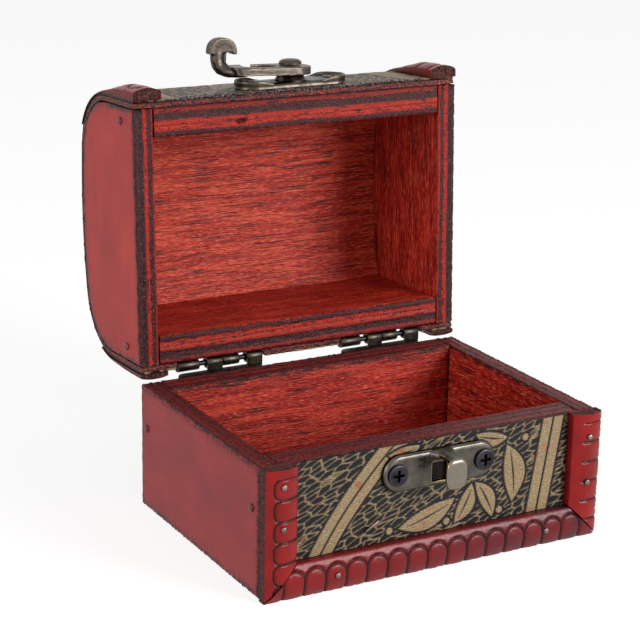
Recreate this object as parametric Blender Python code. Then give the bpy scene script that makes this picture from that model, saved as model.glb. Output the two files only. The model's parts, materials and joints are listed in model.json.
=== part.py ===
"""Small wooden keepsake box with a domed lid, two leaf hinges and a swinging hook latch.

Metres, +Z up, +X to the right seen from the front, front towards -Y. The origin is under
the middle of the base. The lid is drawn shut and turned open on its hinge pins, and the
hook is drawn pointing left from its rivet, so both stand as on an opened box.
"""

import math

import bmesh
import bpy
from mathutils import Vector

# Box carcass
BOX_WIDTH = 0.080
BOX_DEPTH = 0.056
BASE_HEIGHT = 0.028
END_THICKNESS = 0.0045
WALL_THICKNESS = 0.0064
BOTTOM_THICKNESS = 0.0030
JOINT_GAP = 0.0003
GLUE_GAP = 0.0001

# Dome of the lid, measured from its rim on the outside of the panels
RIM_GAP = 0.0003
LID_SIDE_HEIGHT = 0.0153
LID_SHOULDER_RADIUS = 0.013
LID_CROWN_RADIUS = 0.120
SHEET_THICKNESS = 0.0010
PAPER_THICKNESS = 0.00035
PAPER_EDGE_MARGIN = 0.0003
OPEN_ANGLE = math.radians(93)

# Carved mouldings
BASE_MOULDING_WIDTH = 0.0072
BASE_MOULDING_SIDE = 0.0024
BASE_MOULDING_CREST = 0.0034
MITRE_GAP = 0.0004
LID_MOULDING_WIDTH = 0.0065
FRONT_MOULDING_CREST = 0.00285
BACK_MOULDING_CREST = 0.0014
MOULDING_TAIL = 0.0003
TAPER_START = 0.006
FRONT_TAPER_END = 0.021
FRONT_MOULDING_RUN = 0.030
BACK_MOULDING_RUN = 0.021
SHOULDER_SHARE = 0.66

# Hinges: one pin line above and behind the back rim of the base
HINGE_LENGTH = 0.0206
HINGE_INSET = 0.0092
HINGE_RISE = 0.0019
KNUCKLE_RADIUS = 0.0013
PIN_RADIUS = 0.0006
PIN_CLEARANCE = 0.00015
LEAF_THICKNESS = 0.0005
LEAF_REACH = 0.0085
LEAF_MARGIN = 0.0004
LEAF_NAIL_OFFSET = 0.0062
LEAF_NAIL_DROP = 0.0058
LID_KNUCKLE_SHARES = ((0.0, 0.248), (0.533, 0.724))
BASE_KNUCKLE_SHARES = ((0.340, 0.520), (0.816, 1.0))

# Nails and brads
NAIL_RADIUS = 0.00045
NAIL_HEAD_RADIUS = 0.0009
NAIL_HEAD_HEIGHT = 0.00035
NAIL_CLEARANCE = 0.00015
LEAF_NAIL_LENGTH = 0.0042
BRAD_DEPTH = 0.0028
BRAD_RADIUS = 0.00035
BRAD_HEAD_RADIUS = 0.0006
CORNER_NAIL_LENGTH = 0.0085
CORNER_NAIL_HEIGHT = 0.0185
LID_NAIL_HEIGHT = 0.0071

# Brads, driven by eye: shares of each upright's height, and of the box's half width
LEFT_BRAD_SHARES = (0.83, 0.41)
RIGHT_BRAD_SHARES = (0.76, 0.27)
BOTTOM_BRAD_SHARES = (-0.60, 0.66)

# Turned heads, from the crown down: (share of the height, share of the radius)
NAIL_HEAD_SHARES = ((0.0, 0.7), (0.5, 1.0), (1.0, 1.0))
SCREW_HEAD_SHARES = ((0.0, 0.55), (0.3, 0.86), (0.7, 1.0), (1.0, 1.0))
RIVET_HEAD_SHARES = ((0.0, 0.45), (0.18, 0.75), (0.5, 0.96), (1.0, 1.0))
NAIL_POINT_SHARE = 0.33

# Latch plates and their screws
LATCH_X = 0.0005
PLATE_LENGTH = 0.027
PLATE_WIDTH = 0.0082
PLATE_HEIGHT = 0.0013
PLATE_METAL = 0.0005
PLATE_ROUNDING = 0.0011
PLATE_EDGE_SHARES = ((0.0, 0.0), (0.15, 0.55), (0.45, 0.88), (1.0, 1.0))
CATCH_DROP = 0.0062
LATCH_RISE = 0.0060
SCREW_OFFSET = 0.01035
SCREW_HEAD_RADIUS = 0.0023
SCREW_HEAD_HEIGHT = 0.0008
SCREW_RADIUS = 0.0008
SCREW_LENGTH = 0.0060
SCREW_CLEARANCE = 0.0002
CROSS_LENGTH = 0.0026
CROSS_WIDTH = 0.0005
CROSS_DEPTH = 0.00045

# Catch tab bent out of the lower plate
WINDOW_LEFT = 0.0021
WINDOW_RIGHT = 0.0014
WINDOW_TOP_DROP = 0.0049
WINDOW_BOTTOM_DROP = 0.0091
STEM_TOP_DROP = 0.0026
STEM_THICKNESS = 0.0012
STEM_HALF_WIDTH = 0.0011
STEM_ROOT_HALF_WIDTH = 0.0018
TIP_BACK = 0.0068
TIP_THICKNESS = 0.0010
TIP_WIDTH = 0.0045
TIP_HEIGHT = 0.0059
TIP_SHARES = ((0.0, 0.84), (0.3, 1.0), (0.7, 1.0), (1.0, 0.84))
STEM_WAIST_SHARE = 0.35

# Raised middle of the upper plate, the rivet in it and the hook that turns on the rivet
BOSS_RADIUS = 0.0036
BOSS_TOP_RADIUS = 0.0029
BOSS_HEIGHT = 0.0011
RIVET_RADIUS = 0.0012
RIVET_HEAD_RADIUS = 0.0026
RIVET_HEAD_HEIGHT = 0.0012
RIVET_TAIL_RADIUS = 0.0019
RIVET_TAIL_HEIGHT = 0.0005
HOOK_CLEARANCE = 0.0003
HOOK_THICKNESS = 0.0018
HOOK_TILT = math.radians(2.5)
HOOK_RING_RADIUS = 0.0046
HOOK_HALF_WIDTH = 0.0042
HOOK_REACH = 0.0148
HOOK_TIP_HALF_WIDTH = 0.0026
EYE_START = 0.0027
EYE_END = 0.0112
EYE_HALF_WIDTH = 0.0025
EYE_FULLNESS = 3.2
NOTCH_INNER = 0.0085
NOTCH_OUTER = 0.0107
NOTCH_OVERLAP_SHARE = 0.1
NECK_START = 0.0154
NECK_END = 0.0189
NECK_HALF_WIDTH = 0.0016
HEEL_SHARES = ((0.0, 0.0), (0.55, 0.3), (0.88, 0.9), (1.0, 1.8))
INSTEP_SHARES = ((0.0, 1.5), (-0.14, 1.0))
CAP_START = 0.0123
CAP_END = 0.0203
CAP_HALF_WIDTH = 0.0019
CAP_TOP = 0.0081
CAP_DROOP = 0.0036
CAP_THICKNESS = 0.0013
CAP_FULLNESS = 0.7

# Facets of round forms
ROUND_SIDES = 16
SMALL_SIDES = 10
SHOULDER_STEPS = 8
CROWN_STEPS = 10
SECTION_STEPS = 6
TAPER_STEPS = 14
SMOOTH_ANGLE = math.radians(35)
OVERRUN = 0.0010

FRONT = -BOX_DEPTH / 2
BACK = BOX_DEPTH / 2
SIDE = BOX_WIDTH / 2
INNER_SIDE = SIDE - END_THICKNESS
INNER_WALL = BACK - WALL_THICKNESS
LID_RIM = BASE_HEIGHT + RIM_GAP
LID_SKIN = SHEET_THICKNESS + PAPER_THICKNESS + 2 * GLUE_GAP
MOULDING_SEAT = LID_SKIN + GLUE_GAP
AXIS_Y = BACK + GLUE_GAP + KNUCKLE_RADIUS
AXIS_Z = BASE_HEIGHT + HINGE_RISE
CATCH_Z = BASE_HEIGHT - CATCH_DROP
CATCH_SEAT = PAPER_THICKNESS + 2 * GLUE_GAP
LATCH_Z = LID_RIM + LATCH_RISE
LATCH_TOP = MOULDING_SEAT + PLATE_HEIGHT
BOSS_TOP = LATCH_TOP + BOSS_HEIGHT
HOOK_BASE = BOSS_TOP + HOOK_CLEARANCE


def clear_scene():
    for item in list(bpy.data.objects):
        bpy.data.objects.remove(item, do_unlink=True)


def finish(name, colour, roughness, metallic=0.0):
    """A plain surface with this linear colour, roughness and metal value."""
    surface = bpy.data.materials.new(name)
    surface.use_nodes = True
    shader = surface.node_tree.nodes["Principled BSDF"]
    shader.inputs["Base Color"].default_value = (*colour, 1.0)
    shader.inputs["Roughness"].default_value = roughness
    shader.inputs["Metallic"].default_value = metallic
    return surface


def make_object(name, bm, surface=None):
    """A mesh object at the world origin, faces out and round forms smooth."""
    bmesh.ops.recalc_face_normals(bm, faces=bm.faces)
    mesh = bpy.data.meshes.new(name)
    bm.to_mesh(mesh)
    bm.free()
    mesh.shade_smooth()
    mesh.set_sharp_from_angle(angle=SMOOTH_ANGLE)
    item = bpy.data.objects.new(name, mesh)
    bpy.context.scene.collection.objects.link(item)
    if surface:
        item.data.materials.append(surface)
    return item


def hold(item, carrier):
    """Parents a piece that was drawn in the shut box to the pivot that carries it."""
    if carrier:
        item.parent = carrier
        item.location = -Vector(carrier["drawn_at"])
    return item


def add_loft(bm, rings, closed=False):
    """Joins rings of points, one to the next, and caps the ends or closes the run."""
    loops = [[bm.verts.new(point) for point in ring] for ring in rings]
    count = len(loops[0])
    pairs = list(zip(loops, loops[1:]))
    if closed:
        pairs.append((loops[-1], loops[0]))
    for low, high in pairs:
        for i in range(count):
            j = (i + 1) % count
            bm.faces.new((low[i], low[j], high[j], high[i]))
    if not closed:
        bm.faces.new(loops[0])
        bm.faces.new(loops[-1])
    return bm


def add_block(bm, low, high):
    (x0, y0, z0), (x1, y1, z1) = low, high
    outline = ((x0, y0), (x1, y0), (x1, y1), (x0, y1))
    return add_loft(bm, [[(x, y, z) for x, y in outline] for z in (z0, z1)])


def add_turning(bm, start, towards, stations, sides=ROUND_SIDES):
    """A turned piece from start towards a point, from (distance, radius) stations."""
    start = Vector(start)
    along = (Vector(towards) - start).normalized()
    turn = along.to_track_quat("Z", "Y")
    rings = []
    for distance, radius in stations:
        ring = []
        for i in range(sides):
            angle = 2 * math.pi * i / sides
            spoke = Vector((radius * math.cos(angle), radius * math.sin(angle), 0))
            ring.append(start + along * distance + turn @ spoke)
        rings.append(ring)
    return add_loft(bm, rings)


def add_rod(bm, start, end, radius, sides=ROUND_SIDES):
    length = (Vector(end) - Vector(start)).length
    return add_turning(bm, start, end, ((0.0, radius), (length, radius)), sides)


def head_stations(shares, height, radius):
    return [(height * down, radius * out) for down, out in shares]


def nail_stations(head_radius, radius, length):
    """Low round head, straight shank and a blunt point."""
    head = head_stations(NAIL_HEAD_SHARES, NAIL_HEAD_HEIGHT, head_radius)
    end = NAIL_HEAD_HEIGHT + length
    shank = [(NAIL_HEAD_HEIGHT, radius), (end - radius, radius), (end, radius * NAIL_POINT_SHARE)]
    return head + shank


def combine(item, bm, operation):
    """Cuts the helper's shape from the item, or welds it on."""
    helper = make_object(f"{item.name}.{operation.lower()}", bm)
    helper.hide_render = True
    helper.display_type = "WIRE"
    helper.parent = item
    step = item.modifiers.new(operation.title(), "BOOLEAN")
    step.operation = operation
    step.solver = "EXACT"
    step.object = helper
    return item


def cut(item, bm):
    return combine(item, bm, "DIFFERENCE")


def weld(item, bm):
    return combine(item, bm, "UNION")


def lid_pivot():
    pivot = bpy.data.objects.new("lid_pivot", None)
    bpy.context.scene.collection.objects.link(pivot)
    pivot["drawn_at"] = (0.0, AXIS_Y, AXIS_Z)
    pivot.location = (0.0, AXIS_Y, AXIS_Z)
    pivot.rotation_euler = (-OPEN_ANGLE, 0.0, 0.0)
    return pivot


def hook_pivot(lid):
    place = Vector((LATCH_X, FRONT - HOOK_BASE, LATCH_Z))
    pivot = bpy.data.objects.new("hook_pivot", None)
    bpy.context.scene.collection.objects.link(pivot)
    pivot.parent = lid
    pivot.location = place - Vector(lid["drawn_at"])
    pivot.rotation_euler = (0.0, 0.0, HOOK_TILT)
    return pivot


def dome_angles():
    """Turn of the shoulder arc, and half the turn of the crown arc."""
    run = BACK - LID_SHOULDER_RADIUS
    half_crown = math.asin(run / (LID_CROWN_RADIUS - LID_SHOULDER_RADIUS))
    return math.pi / 2 - half_crown, half_crown


def dome_point(run, offset=0.0):
    """Point (y, z) at this distance along the dome from the front rim, pushed outwards."""
    shoulder, half_crown = dome_angles()
    corner_run = LID_SHOULDER_RADIUS * shoulder
    crown_run = LID_CROWN_RADIUS * half_crown
    half = LID_SIDE_HEIGHT + corner_run + crown_run
    mirrored = run > half
    if mirrored:
        run = 2 * half - run
    centre_y = FRONT + LID_SHOULDER_RADIUS
    if run <= LID_SIDE_HEIGHT:
        y, z = FRONT - offset, run
    elif run <= LID_SIDE_HEIGHT + corner_run:
        angle = (run - LID_SIDE_HEIGHT) / LID_SHOULDER_RADIUS
        reach = LID_SHOULDER_RADIUS + offset
        y = centre_y - reach * math.cos(angle)
        z = LID_SIDE_HEIGHT + reach * math.sin(angle)
    else:
        angle = (half - run) / LID_CROWN_RADIUS
        spread = (LID_CROWN_RADIUS - LID_SHOULDER_RADIUS) * math.cos(half_crown)
        crown_centre = LID_SIDE_HEIGHT - spread
        reach = LID_CROWN_RADIUS + offset
        y = -reach * math.sin(angle)
        z = crown_centre + reach * math.cos(angle)
    return (-y if mirrored else y), LID_RIM + z


def dome_runs():
    """Distances along the dome where its outline needs a point, rim to rim."""
    shoulder, half_crown = dome_angles()
    corner_run = LID_SHOULDER_RADIUS * shoulder
    crown_run = LID_CROWN_RADIUS * half_crown
    half = LID_SIDE_HEIGHT + corner_run + crown_run
    front = [0.0]
    front += [LID_SIDE_HEIGHT + corner_run * i / SHOULDER_STEPS for i in range(SHOULDER_STEPS)]
    crown_steps = CROWN_STEPS // 2
    first = LID_SIDE_HEIGHT + corner_run
    front += [first + crown_run * i / crown_steps for i in range(crown_steps)]
    return front + [half] + [2 * half - run for run in reversed(front)]


def wall_run():
    """Distance along the dome where a long panel's inner face meets it."""
    angle = math.acos(1 - WALL_THICKNESS / LID_SHOULDER_RADIUS)
    return LID_SIDE_HEIGHT + LID_SHOULDER_RADIUS * min(angle, dome_angles()[0])


def add_slab(bm, outline, low_x, high_x):
    """A flat piece with this (y, z) outline between two planes across the box."""
    return add_loft(bm, [[(x, y, z) for y, z in outline] for x in (low_x, high_x)])


def section(width, side, crest):
    """Half-round section of a moulding: (across, out) from its outer edge to its inner."""
    points = [(0.0, 0.0), (0.0, side)]
    for i in range(1, SECTION_STEPS):
        share = i / SECTION_STEPS
        points.append((width * share, side + (crest - side) * math.sin(math.pi * share)))
    return points + [(width, side), (width, 0.0)]


def corner_nail_places():
    """Across and depth of the nails through the ends into the long panels."""
    nail_y = BACK - WALL_THICKNESS / 2
    return [
        (side_name, sign, end_name, y)
        for side_name, sign in (("left", -1), ("right", 1))
        for end_name, y in (("front", -nail_y), ("back", nail_y))
    ]


def corner_nail_holes(height, sign=None, depth=None):
    """Holes for the corner nails in the pieces at this side or at this depth."""
    bm = bmesh.new()
    for _, side, _, y in corner_nail_places():
        if sign in (None, side) and depth in (None, math.copysign(1, y)):
            start = (side * (SIDE + OVERRUN), y, height)
            end = (side * (SIDE - CORNER_NAIL_LENGTH - NAIL_CLEARANCE), y, height)
            add_rod(bm, start, end, NAIL_RADIUS + NAIL_CLEARANCE, SMALL_SIDES)
    return bm


def make_corner_nails(prefix, height, surface, carrier=None):
    for side_name, sign, end_name, y in corner_nail_places():
        bm = bmesh.new()
        top = SIDE + NAIL_CLEARANCE + NAIL_HEAD_HEIGHT
        stations = nail_stations(NAIL_HEAD_RADIUS, NAIL_RADIUS, CORNER_NAIL_LENGTH)
        add_turning(bm, (sign * top, y, height), (0.0, y, height), stations, SMALL_SIDES)
        hold(make_object(f"{prefix}_{side_name}_nail_{end_name}", bm, surface), carrier)


def screw_places(x):
    return (("left", x - SCREW_OFFSET), ("right", x + SCREW_OFFSET))


def screw_holes(z):
    bm = bmesh.new()
    for _, x in screw_places(LATCH_X):
        start = (x, FRONT - LATCH_TOP - OVERRUN, z)
        end = (x, FRONT + SCREW_LENGTH, z)
        add_rod(bm, start, end, SCREW_RADIUS + SCREW_CLEARANCE, SMALL_SIDES)
    return bm


def make_screws(prefix, z, seat, surface, carrier=None):
    """Low-domed cross-head screws on a plate whose face is seat out from the panel."""
    for side_name, x in screw_places(LATCH_X):
        top = seat + SCREW_CLEARANCE + SCREW_HEAD_HEIGHT
        stations = head_stations(SCREW_HEAD_SHARES, SCREW_HEAD_HEIGHT, SCREW_HEAD_RADIUS) + [
            (SCREW_HEAD_HEIGHT, SCREW_RADIUS),
            (SCREW_LENGTH, SCREW_RADIUS),
            (SCREW_LENGTH + SCREW_RADIUS, SCREW_RADIUS * NAIL_POINT_SHARE),
        ]
        bm = bmesh.new()
        start = (x, FRONT - top, z)
        add_turning(bm, start, (x, 0.0, z), stations)
        screw = make_object(f"{prefix}_screw_{side_name}", bm, surface)
        slots = bmesh.new()
        half, thin = CROSS_LENGTH / 2, CROSS_WIDTH / 2
        floor = FRONT - top + CROSS_DEPTH
        mouth = FRONT - top - OVERRUN
        add_block(slots, (x - half, mouth, z - thin), (x + half, floor, z + thin))
        cut(screw, slots)
        upright = bmesh.new()
        add_block(upright, (x - thin, mouth, z - half), (x + thin, floor, z + half))
        cut(screw, upright)
        hold(screw, carrier)


def stadium(length, width, inset, out, z, sides=ROUND_SIDES):
    """Ring of points of a plate with round ends, inset from its edge, out from the panel."""
    radius = width / 2 - inset
    reach = length / 2 - width / 2
    points = []
    for i in range(2 * sides):
        angle = math.pi * (i + 0.5) / sides
        shift = reach if math.cos(angle) > 0 else -reach
        x = LATCH_X + shift + radius * math.cos(angle)
        points.append((x, FRONT - out, z + radius * math.sin(angle)))
    return points


def disc(radius, out, z, sides=ROUND_SIDES, height=None):
    """Ring of points round the latch line, oval when a height is given."""
    tall = radius if height is None else height
    points = []
    for i in range(2 * sides):
        angle = math.pi * (i + 0.5) / sides
        points.append((LATCH_X + radius * math.cos(angle), FRONT - out, z + tall * math.sin(angle)))
    return points


def plate_rings(seat, z):
    """Inner and outer rings of the pressed plate, from its back edge to its flat face."""
    outer = []
    inner = []
    for inset_share, out_share in PLATE_EDGE_SHARES:
        inset = PLATE_ROUNDING * inset_share
        out = seat + PLATE_HEIGHT * out_share
        outer.append(stadium(PLATE_LENGTH, PLATE_WIDTH, inset, out, z))
        deep = seat + (PLATE_HEIGHT - PLATE_METAL) * out_share
        inner.append(stadium(PLATE_LENGTH, PLATE_WIDTH, inset + PLATE_METAL, deep, z))
    return inner, outer


def make_base_ends(wood):
    for name, sign in (("left", -1), ("right", 1)):
        bm = bmesh.new()
        near, far = sorted((sign * INNER_SIDE, sign * SIDE))
        add_block(bm, (near, FRONT, 0.0), (far, BACK, BASE_HEIGHT))
        panel = make_object(f"base_{name}_end", bm, wood)
        cut(panel, corner_nail_holes(CORNER_NAIL_HEIGHT, sign=sign))
        cut(panel, brad_holes())


def make_base_walls(ply):
    """Front and back panels between the ends, and the floor let in between all four."""
    across = INNER_SIDE - JOINT_GAP
    for name, y_low, y_high in (("front", FRONT, -INNER_WALL), ("back", INNER_WALL, BACK)):
        bm = bmesh.new()
        add_block(bm, (-across, y_low, 0.0), (across, y_high, BASE_HEIGHT))
        panel = make_object(f"base_{name}_panel", bm, ply)
        cut(panel, corner_nail_holes(CORNER_NAIL_HEIGHT, depth=math.copysign(1, y_low)))
        if name == "front":
            cut(panel, screw_holes(CATCH_Z))
            cut(panel, brad_holes())
        else:
            cut(panel, leaf_nail_holes(-1))
    bm = bmesh.new()
    deep = INNER_WALL - JOINT_GAP
    add_block(bm, (-across, -deep, 0.0), (across, deep, BOTTOM_THICKNESS))
    make_object("base_bottom_panel", bm, ply)


def make_base_paper(paper):
    bm = bmesh.new()
    paper_side = SIDE - BASE_MOULDING_WIDTH - GLUE_GAP
    low = (-paper_side, FRONT - GLUE_GAP - PAPER_THICKNESS, BASE_MOULDING_WIDTH + GLUE_GAP)
    high = (paper_side, FRONT - GLUE_GAP, BASE_HEIGHT - PAPER_EDGE_MARGIN)
    add_block(bm, low, high)
    sheet = make_object("base_front_paper", bm, paper)
    cut(sheet, screw_holes(CATCH_Z))


def make_base_mouldings(trim):
    """Three strips round the front, mitred where they meet at the bottom corners."""
    profile = section(BASE_MOULDING_WIDTH, BASE_MOULDING_SIDE, BASE_MOULDING_CREST)
    for name, sign in (("left", -1), ("right", 1)):
        foot = []
        head = []
        for across, out in profile:
            x, y = sign * (SIDE - across), FRONT - GLUE_GAP - out
            foot.append((x, y, across + MITRE_GAP))
            head.append((x, y, BASE_HEIGHT))
        strip = make_object(f"base_moulding_{name}", add_loft(bmesh.new(), [foot, head]), trim)
        cut(strip, brad_holes())
    rings = []
    for sign in (-1, 1):
        ring = []
        for across, out in profile:
            ring.append((sign * (SIDE - across), FRONT - GLUE_GAP - out, across))
        rings.append(ring)
    strip = make_object("base_moulding_bottom", add_loft(bmesh.new(), rings), trim)
    cut(strip, brad_holes())


def brad_places():
    """Name, x and z of each brad, on the middle line of its strip."""
    line = SIDE - BASE_MOULDING_WIDTH / 2
    upright = BASE_HEIGHT - BASE_MOULDING_WIDTH
    places = []
    for side_name, x, shares in (("left", -line, LEFT_BRAD_SHARES), ("right", line, RIGHT_BRAD_SHARES)):
        for end_name, share in zip(("upper", "lower"), shares):
            places.append((f"{side_name}_{end_name}", x, BASE_MOULDING_WIDTH + upright * share))
    for side_name, share in zip(("left", "right"), BOTTOM_BRAD_SHARES):
        places.append((f"bottom_{side_name}", SIDE * share, BASE_MOULDING_WIDTH / 2))
    return places


def brad_holes():
    bm = bmesh.new()
    for _, x, z in brad_places():
        start = (x, FRONT - GLUE_GAP - BASE_MOULDING_CREST - OVERRUN, z)
        end = (x, FRONT + BRAD_DEPTH + NAIL_CLEARANCE, z)
        add_rod(bm, start, end, BRAD_RADIUS + NAIL_CLEARANCE, SMALL_SIDES)
    return bm


def make_brads(steel):
    """Fine brads through the mouldings into the panel behind them."""
    top = GLUE_GAP + BASE_MOULDING_CREST + NAIL_CLEARANCE + NAIL_HEAD_HEIGHT
    stations = nail_stations(BRAD_HEAD_RADIUS, BRAD_RADIUS, top - NAIL_HEAD_HEIGHT + BRAD_DEPTH)
    for name, x, z in brad_places():
        bm = bmesh.new()
        add_turning(bm, (x, FRONT - top, z), (x, 0.0, z), stations, SMALL_SIDES)
        make_object(f"moulding_brad_{name}", bm, steel)


def make_lid_ends(lid, wood):
    outline = [dome_point(run) for run in dome_runs()]
    for name, sign in (("left", -1), ("right", 1)):
        near, far = sorted((sign * INNER_SIDE, sign * SIDE))
        panel = make_object(f"lid_{name}_end", add_slab(bmesh.new(), outline, near, far), wood)
        cut(panel, corner_nail_holes(LID_RIM + LID_NAIL_HEIGHT, sign=sign))
        hold(panel, lid)


def make_lid_walls(lid, ply):
    """Front and back panels, rounded at the top to the dome's outline."""
    steps = SHOULDER_STEPS
    bend = wall_run() - LID_SIDE_HEIGHT
    runs = [0.0] + [LID_SIDE_HEIGHT + bend * i / steps for i in range(steps + 1)]
    front = [dome_point(run) for run in runs] + [(-INNER_WALL, LID_RIM)]
    across = INNER_SIDE - JOINT_GAP
    for name, turned in (("front", 1), ("back", -1)):
        edge = [(turned * y, z) for y, z in front]
        panel = make_object(f"lid_{name}_panel", add_slab(bmesh.new(), edge, -across, across), ply)
        cut(panel, corner_nail_holes(LID_RIM + LID_NAIL_HEIGHT, depth=-turned))
        if name == "front":
            cut(panel, screw_holes(LATCH_Z))
        else:
            cut(panel, leaf_nail_holes(1))
        hold(panel, lid)


def make_lid_skins(lid, sheet_wood, paper):
    """The bent sheet over the dome, and the paper glued on it."""
    skins = (
        ("dome_sheet", GLUE_GAP, SHEET_THICKNESS, 0.0, sheet_wood),
        ("dome_paper", 2 * GLUE_GAP + SHEET_THICKNESS, PAPER_THICKNESS, PAPER_EDGE_MARGIN, paper),
    )
    for name, offset, thickness, margin, surface in skins:
        runs = dome_runs()
        runs = [margin] + runs[1:-1] + [runs[-1] - margin]
        loop = [dome_point(run, offset + thickness) for run in runs]
        loop += [dome_point(run, offset) for run in reversed(runs)]
        bm = add_slab(bmesh.new(), loop, -SIDE + margin, SIDE - margin)
        skin = make_object(name, bm, surface)
        cut(skin, screw_holes(LATCH_Z))
        cut(skin, leaf_notches())
        hold(skin, lid)


def leaf_notches():
    """Room in the lid's skin round the upper hinge leaves."""
    bm = bmesh.new()
    half = HINGE_LENGTH / 2 + LEAF_MARGIN
    for _, x in hinge_places():
        low = (x - half, BACK + GLUE_GAP / 2, LID_RIM - OVERRUN)
        high = (x + half, BACK + LID_SKIN + OVERRUN, AXIS_Z + LEAF_REACH + LEAF_MARGIN)
        add_block(bm, low, high)
    return bm


def make_lid_mouldings(lid, trim):
    """Strips that follow the dome up from each rim corner and taper out over it."""
    whole = dome_runs()[-1]
    kinds = (
        ("front", FRONT_MOULDING_CREST, FRONT_MOULDING_RUN, FRONT_TAPER_END),
        ("back", BACK_MOULDING_CREST, BACK_MOULDING_RUN, BACK_MOULDING_RUN),
    )
    for place, crest, length, taper_end in kinds:
        for name, sign in (("left", -1), ("right", 1)):
            rings = []
            for i in range(TAPER_STEPS + 1):
                run = length * i / TAPER_STEPS
                share = min(max((run - TAPER_START) / (taper_end - TAPER_START), 0.0), 1.0)
                falling = (1 + math.cos(math.pi * share)) / 2
                height = MOULDING_TAIL + (crest - MOULDING_TAIL) * falling
                along = run if place == "front" else whole - run
                ring = []
                for across, out in section(LID_MOULDING_WIDTH, height * SHOULDER_SHARE, height):
                    y, z = dome_point(along, MOULDING_SEAT + out)
                    ring.append((sign * (SIDE - across), y, z))
                rings.append(ring)
            strip = make_object(f"lid_moulding_{place}_{name}", add_loft(bmesh.new(), rings), trim)
            hold(strip, lid)


def hinge_places():
    """Middle of each hinge, set in from the box's sides."""
    middle = SIDE - HINGE_INSET - HINGE_LENGTH / 2
    return (("left", -middle), ("right", middle))


def leaf_nail_places(upward):
    """x and z of the nails in the leaves above the pin (1) or below it (-1)."""
    return [
        (name, side_name, x + shift, AXIS_Z + upward * LEAF_NAIL_DROP)
        for name, x in hinge_places()
        for side_name, shift in (("a", -LEAF_NAIL_OFFSET), ("b", LEAF_NAIL_OFFSET))
    ]


def leaf_nail_holes(upward):
    bm = bmesh.new()
    for _, _, x, z in leaf_nail_places(upward):
        start = (x, BACK + LEAF_THICKNESS + OVERRUN, z)
        end = (x, BACK - LEAF_NAIL_LENGTH, z)
        add_rod(bm, start, end, NAIL_RADIUS + NAIL_CLEARANCE, SMALL_SIDES)
    return bm


def add_knuckle(bm, low_x, high_x):
    """A tube round the pin line."""
    rings = []
    bore = PIN_RADIUS + PIN_CLEARANCE
    outside = [(low_x, KNUCKLE_RADIUS), (high_x, KNUCKLE_RADIUS)]
    for x, radius in outside + [(high_x, bore), (low_x, bore)]:
        ring = []
        for i in range(ROUND_SIDES):
            angle = 2 * math.pi * (i + 0.5) / ROUND_SIDES
            ring.append((x, AXIS_Y + radius * math.cos(angle), AXIS_Z + radius * math.sin(angle)))
        rings.append(ring)
    return add_loft(bm, rings, closed=True)


def make_hinges(lid, brass, steel):
    """Leaf hinges: each leaf carries two knuckles, threaded on a common pin line."""
    kinds = (
        ("base", -1, BASE_KNUCKLE_SHARES, None),
        ("lid", 1, LID_KNUCKLE_SHARES, lid),
    )
    seat = BACK + GLUE_GAP
    for hinge_name, centre in hinge_places():
        start = centre - HINGE_LENGTH / 2
        for kind, upward, knuckle_shares, carrier in kinds:
            near = AXIS_Z + upward * (KNUCKLE_RADIUS + PIN_CLEARANCE)
            far = AXIS_Z + upward * LEAF_REACH
            bm = bmesh.new()
            low = (start, seat, min(near, far))
            high = (start + HINGE_LENGTH, seat + LEAF_THICKNESS, max(near, far))
            add_block(bm, low, high)
            leaf = make_object(f"hinge_{hinge_name}_{kind}_leaf", bm, brass)
            for low_share, high_share in knuckle_shares:
                low_x = start + HINGE_LENGTH * low_share
                high_x = start + HINGE_LENGTH * high_share
                arm = bmesh.new()
                reach = near + upward * PIN_CLEARANCE
                arm_low = (low_x, seat, min(AXIS_Z, reach))
                arm_high = (high_x, seat + LEAF_THICKNESS, max(AXIS_Z, reach))
                add_block(arm, arm_low, arm_high)
                weld(leaf, arm)
                weld(leaf, add_knuckle(bmesh.new(), low_x, high_x))
            cut(leaf, leaf_nail_holes(upward))
            hold(leaf, carrier)
        bm = bmesh.new()
        low_x, high_x = start - PIN_CLEARANCE, start + HINGE_LENGTH + PIN_CLEARANCE
        add_rod(bm, (low_x, AXIS_Y, AXIS_Z), (high_x, AXIS_Y, AXIS_Z), PIN_RADIUS, SMALL_SIDES)
        make_object(f"hinge_{hinge_name}_pin", bm, steel)
    stations = nail_stations(NAIL_HEAD_RADIUS, NAIL_RADIUS, LEAF_NAIL_LENGTH)
    top = seat + LEAF_THICKNESS + NAIL_CLEARANCE + NAIL_HEAD_HEIGHT
    for kind, upward, _, carrier in kinds:
        for hinge_name, side_name, x, z in leaf_nail_places(upward):
            bm = bmesh.new()
            add_turning(bm, (x, top, z), (x, 0.0, z), stations, SMALL_SIDES)
            name = f"hinge_{hinge_name}_{kind}_nail_{side_name}"
            hold(make_object(name, bm, steel), carrier)


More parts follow.
